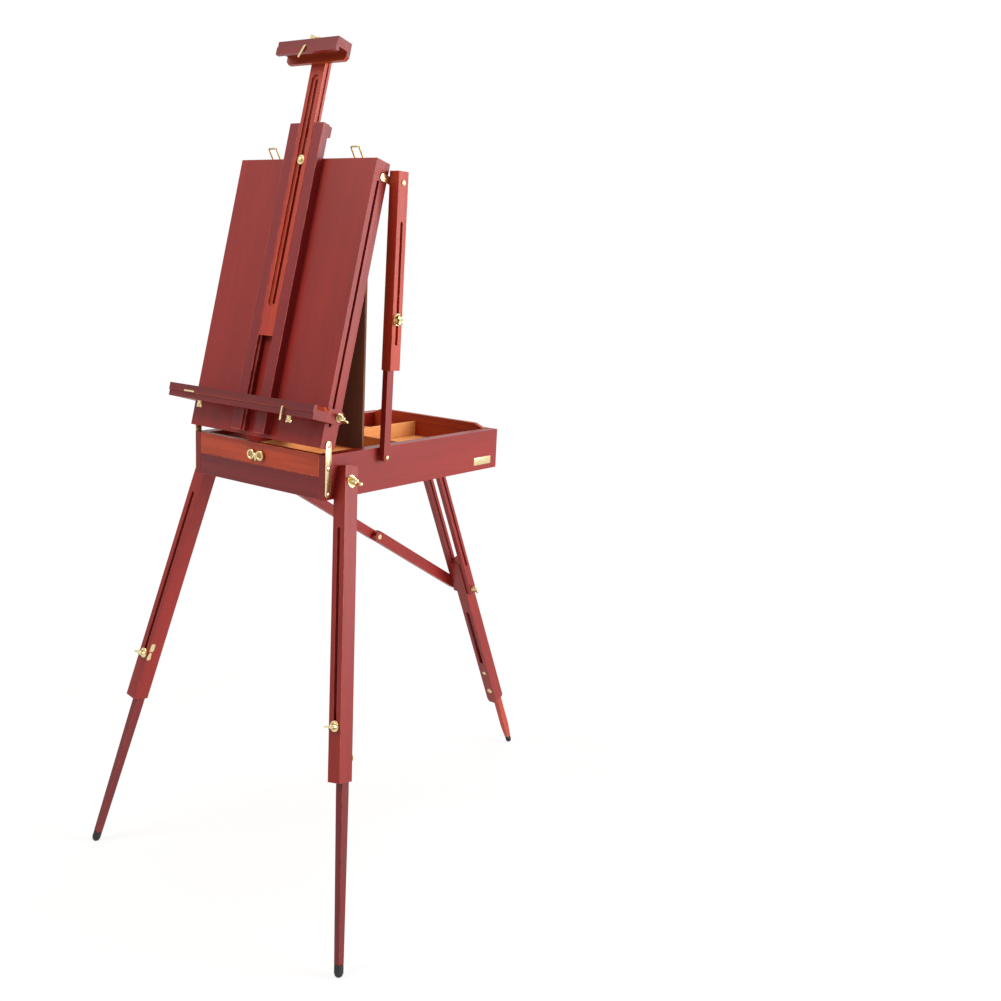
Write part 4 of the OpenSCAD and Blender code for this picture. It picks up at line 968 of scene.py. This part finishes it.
def rubberFoot(r, up, tenon):
    # a tip with ridges around it
    profile = [(0, -r), (r * 0.45, -r * 0.9), (r * 0.8, -r * 0.6), (r, 0)]
    step, low = (up - 1.5) / footRidges["count"], r - footRidges["deep"]
    for i in range(footRidges["count"]):
        z = i * step
        profile += [(r, z + step * 0.62), (low, z + step * 0.72), (low, z + step * 0.94), (r, z + step)]
    profile += [(r - 0.2, up - 0.6), (r - 0.9, up), (tenon / 2 + 0.8, up), (tenon / 2 + 0.4, up - 0.8),
                (0, up - 0.8)]
    return turned(profile, 40)


for node, (up, tenon, home) in feet.items():
    low, high = extent(node, home)
    centre = (low + high) / 2 / mm
    r = min(high.x - low.x, high.y - low.y) / 2 / mm - footRidges["clear"]
    place = home @ Matrix.Scale(mm, 4) @ Matrix.Translation((centre.x, centre.y, high.z / mm - up))
    bm = moved(rubberFoot(r, up, tenon), place)
    # cut flat where it stands
    bmesh.ops.bisect_plane(bm, geom=bm.verts[:] + bm.edges[:] + bm.faces[:], dist=1e-7, plane_co=(0, 0, 0),
                           plane_no=(0, 0, 1), clear_inner=True)
    bmesh.ops.holes_fill(bm, edges=[e for e in bm.edges if len(e.link_faces) == 1], sides=0)
    bmesh.ops.recalc_face_normals(bm, faces=bm.faces)
    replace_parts(finishMesh(node + "_ribbed", bm, rubber, bodyOf(node), 35), node)
print("hardware ready")

# the CAD's own brass and rubber that no new piece stands for
for node, part in nodes.items():
    if part.hide_render or node in boards:
        continue
    part.data.materials.clear()
    part.data.materials.append(rubber if slots[node] == "rubber" else brass)

# the studio
studio = {"floorSize": 40, "floorColour": (0.86, 0.85, 0.84, 1), "floorRough": 0.9, "floorWhite": 0.84,
          "clear": (0.55, 1.5), "worldLight": 0.4}
camera = {"place": (1.5645, -1.8013, 1.2469), "heading": 36.78, "tilt": 12.2, "roll": 2.61,
          "lens": 40.68, "sensor": 36, "shift": 0.03}
# each lamp's name, place, aim, size, power, colour and whether reflections show it
lamps = [
    ("keyPanel", (-0.9, -2.5, 3.5), (0, 0, 0.9), 1.4, 84, (1.0, 0.93, 0.86), True),
    ("rimPanel", (3.5, 1.7, 1.7), (0, 0, 0.8), 2.4, 185, (1.0, 0.96, 0.97), True),
    ("topPanel", (0.2, 0.5, 4.2), (0, 0, 0.8), 2.2, 60, (1.0, 0.97, 0.94), False),
]


def whiteToEyes(tree, shader, white, amount, output):
    # camera, mirror and glass rays see a white studio; light on the object stays as it is
    path = addNode(tree, "ShaderNodeLightPath")
    mirrored = calculate(tree, "MAXIMUM", path.outputs["Is Glossy Ray"], path.outputs["Is Transmission Ray"])
    seen = calculate(tree, "MAXIMUM", path.outputs["Is Camera Ray"], mirrored)
    mix = addNode(tree, "ShaderNodeMixShader")
    tree.links.new(calculate(tree, "MULTIPLY", seen, amount), mix.inputs[0])
    tree.links.new(shader, mix.inputs[1])
    tree.links.new(white, mix.inputs[2])
    tree.links.new(mix.outputs[0], output)


def makeFloor(values):
    bm = bmesh.new()
    bmesh.ops.create_circle(bm, cap_ends=True, segments=64, radius=values["floorSize"])
    mesh = bpy.data.meshes.new("floor")
    bm.to_mesh(mesh)
    bm.free()
    floor = bpy.data.objects.new("floor", mesh)
    bpy.context.scene.collection.objects.link(floor)
    material, tree, shader = newMaterial("floorPaper")
    setInputs(shader, Base_Color=values["floorColour"], Roughness=values["floorRough"])
    white = addNode(tree, "ShaderNodeEmission")
    # the paper keeps its shadow near the feet and is clear white farther out
    place = addNode(tree, "ShaderNodeTexCoord")
    far = addNode(tree, "ShaderNodeVectorMath", operation="LENGTH")
    tree.links.new(place.outputs["Object"], far.inputs[0])
    share = ramp(tree, far.outputs["Value"], *values["clear"], values["floorWhite"], 1.0)
    whiteToEyes(tree, shader.outputs[0], white.outputs[0], share, tree.nodes["Material Output"].inputs[0])
    mesh.materials.append(material)


def makeWorld(values):
    world = bpy.data.worlds.new("studio")
    bpy.context.scene.world = world
    world.use_nodes = True
    tree = world.node_tree
    light = tree.nodes["Background"]
    light.inputs[0].default_value = (1, 1, 1, 1)
    light.inputs[1].default_value = values["worldLight"]
    white = addNode(tree, "ShaderNodeBackground")
    white.inputs[0].default_value = (1, 1, 1, 1)
    whiteToEyes(tree, light.outputs[0], white.outputs[0], 1.0, tree.nodes["World Output"].inputs[0])


def makeLamp(name, place, aim, size, power, colour, mirrored):
    data = bpy.data.lights.new(name, "AREA")
    data.size, data.energy, data.color = size, power, colour
    lamp = bpy.data.objects.new(name, data)
    lamp.location = place
    lamp.visible_glossy = mirrored
    lamp.rotation_euler = (Vector(aim) - Vector(place)).to_track_quat("-Z", "Y").to_euler()
    bpy.context.scene.collection.objects.link(lamp)


def makeCamera(values):
    data = bpy.data.cameras.new("camera")
    data.lens, data.sensor_width, data.shift_x = values["lens"], values["sensor"], values["shift"]
    eye = bpy.data.objects.new("camera", data)
    heading = Matrix.Rotation(radians(values["heading"]), 4, "Z")
    tilt = Matrix.Rotation(radians(90 - values["tilt"]), 4, "X")
    roll = Matrix.Rotation(radians(values["roll"]), 4, "Z")
    eye.matrix_world = Matrix.Translation(values["place"]) @ heading @ tilt @ roll
    bpy.context.scene.collection.objects.link(eye)
    bpy.context.scene.camera = eye


makeFloor(studio)
makeWorld(studio)
for lamp in lamps:
    makeLamp(*lamp)
makeCamera(camera)
bpy.context.scene.view_settings.view_transform = "Standard"
print("studio ready")
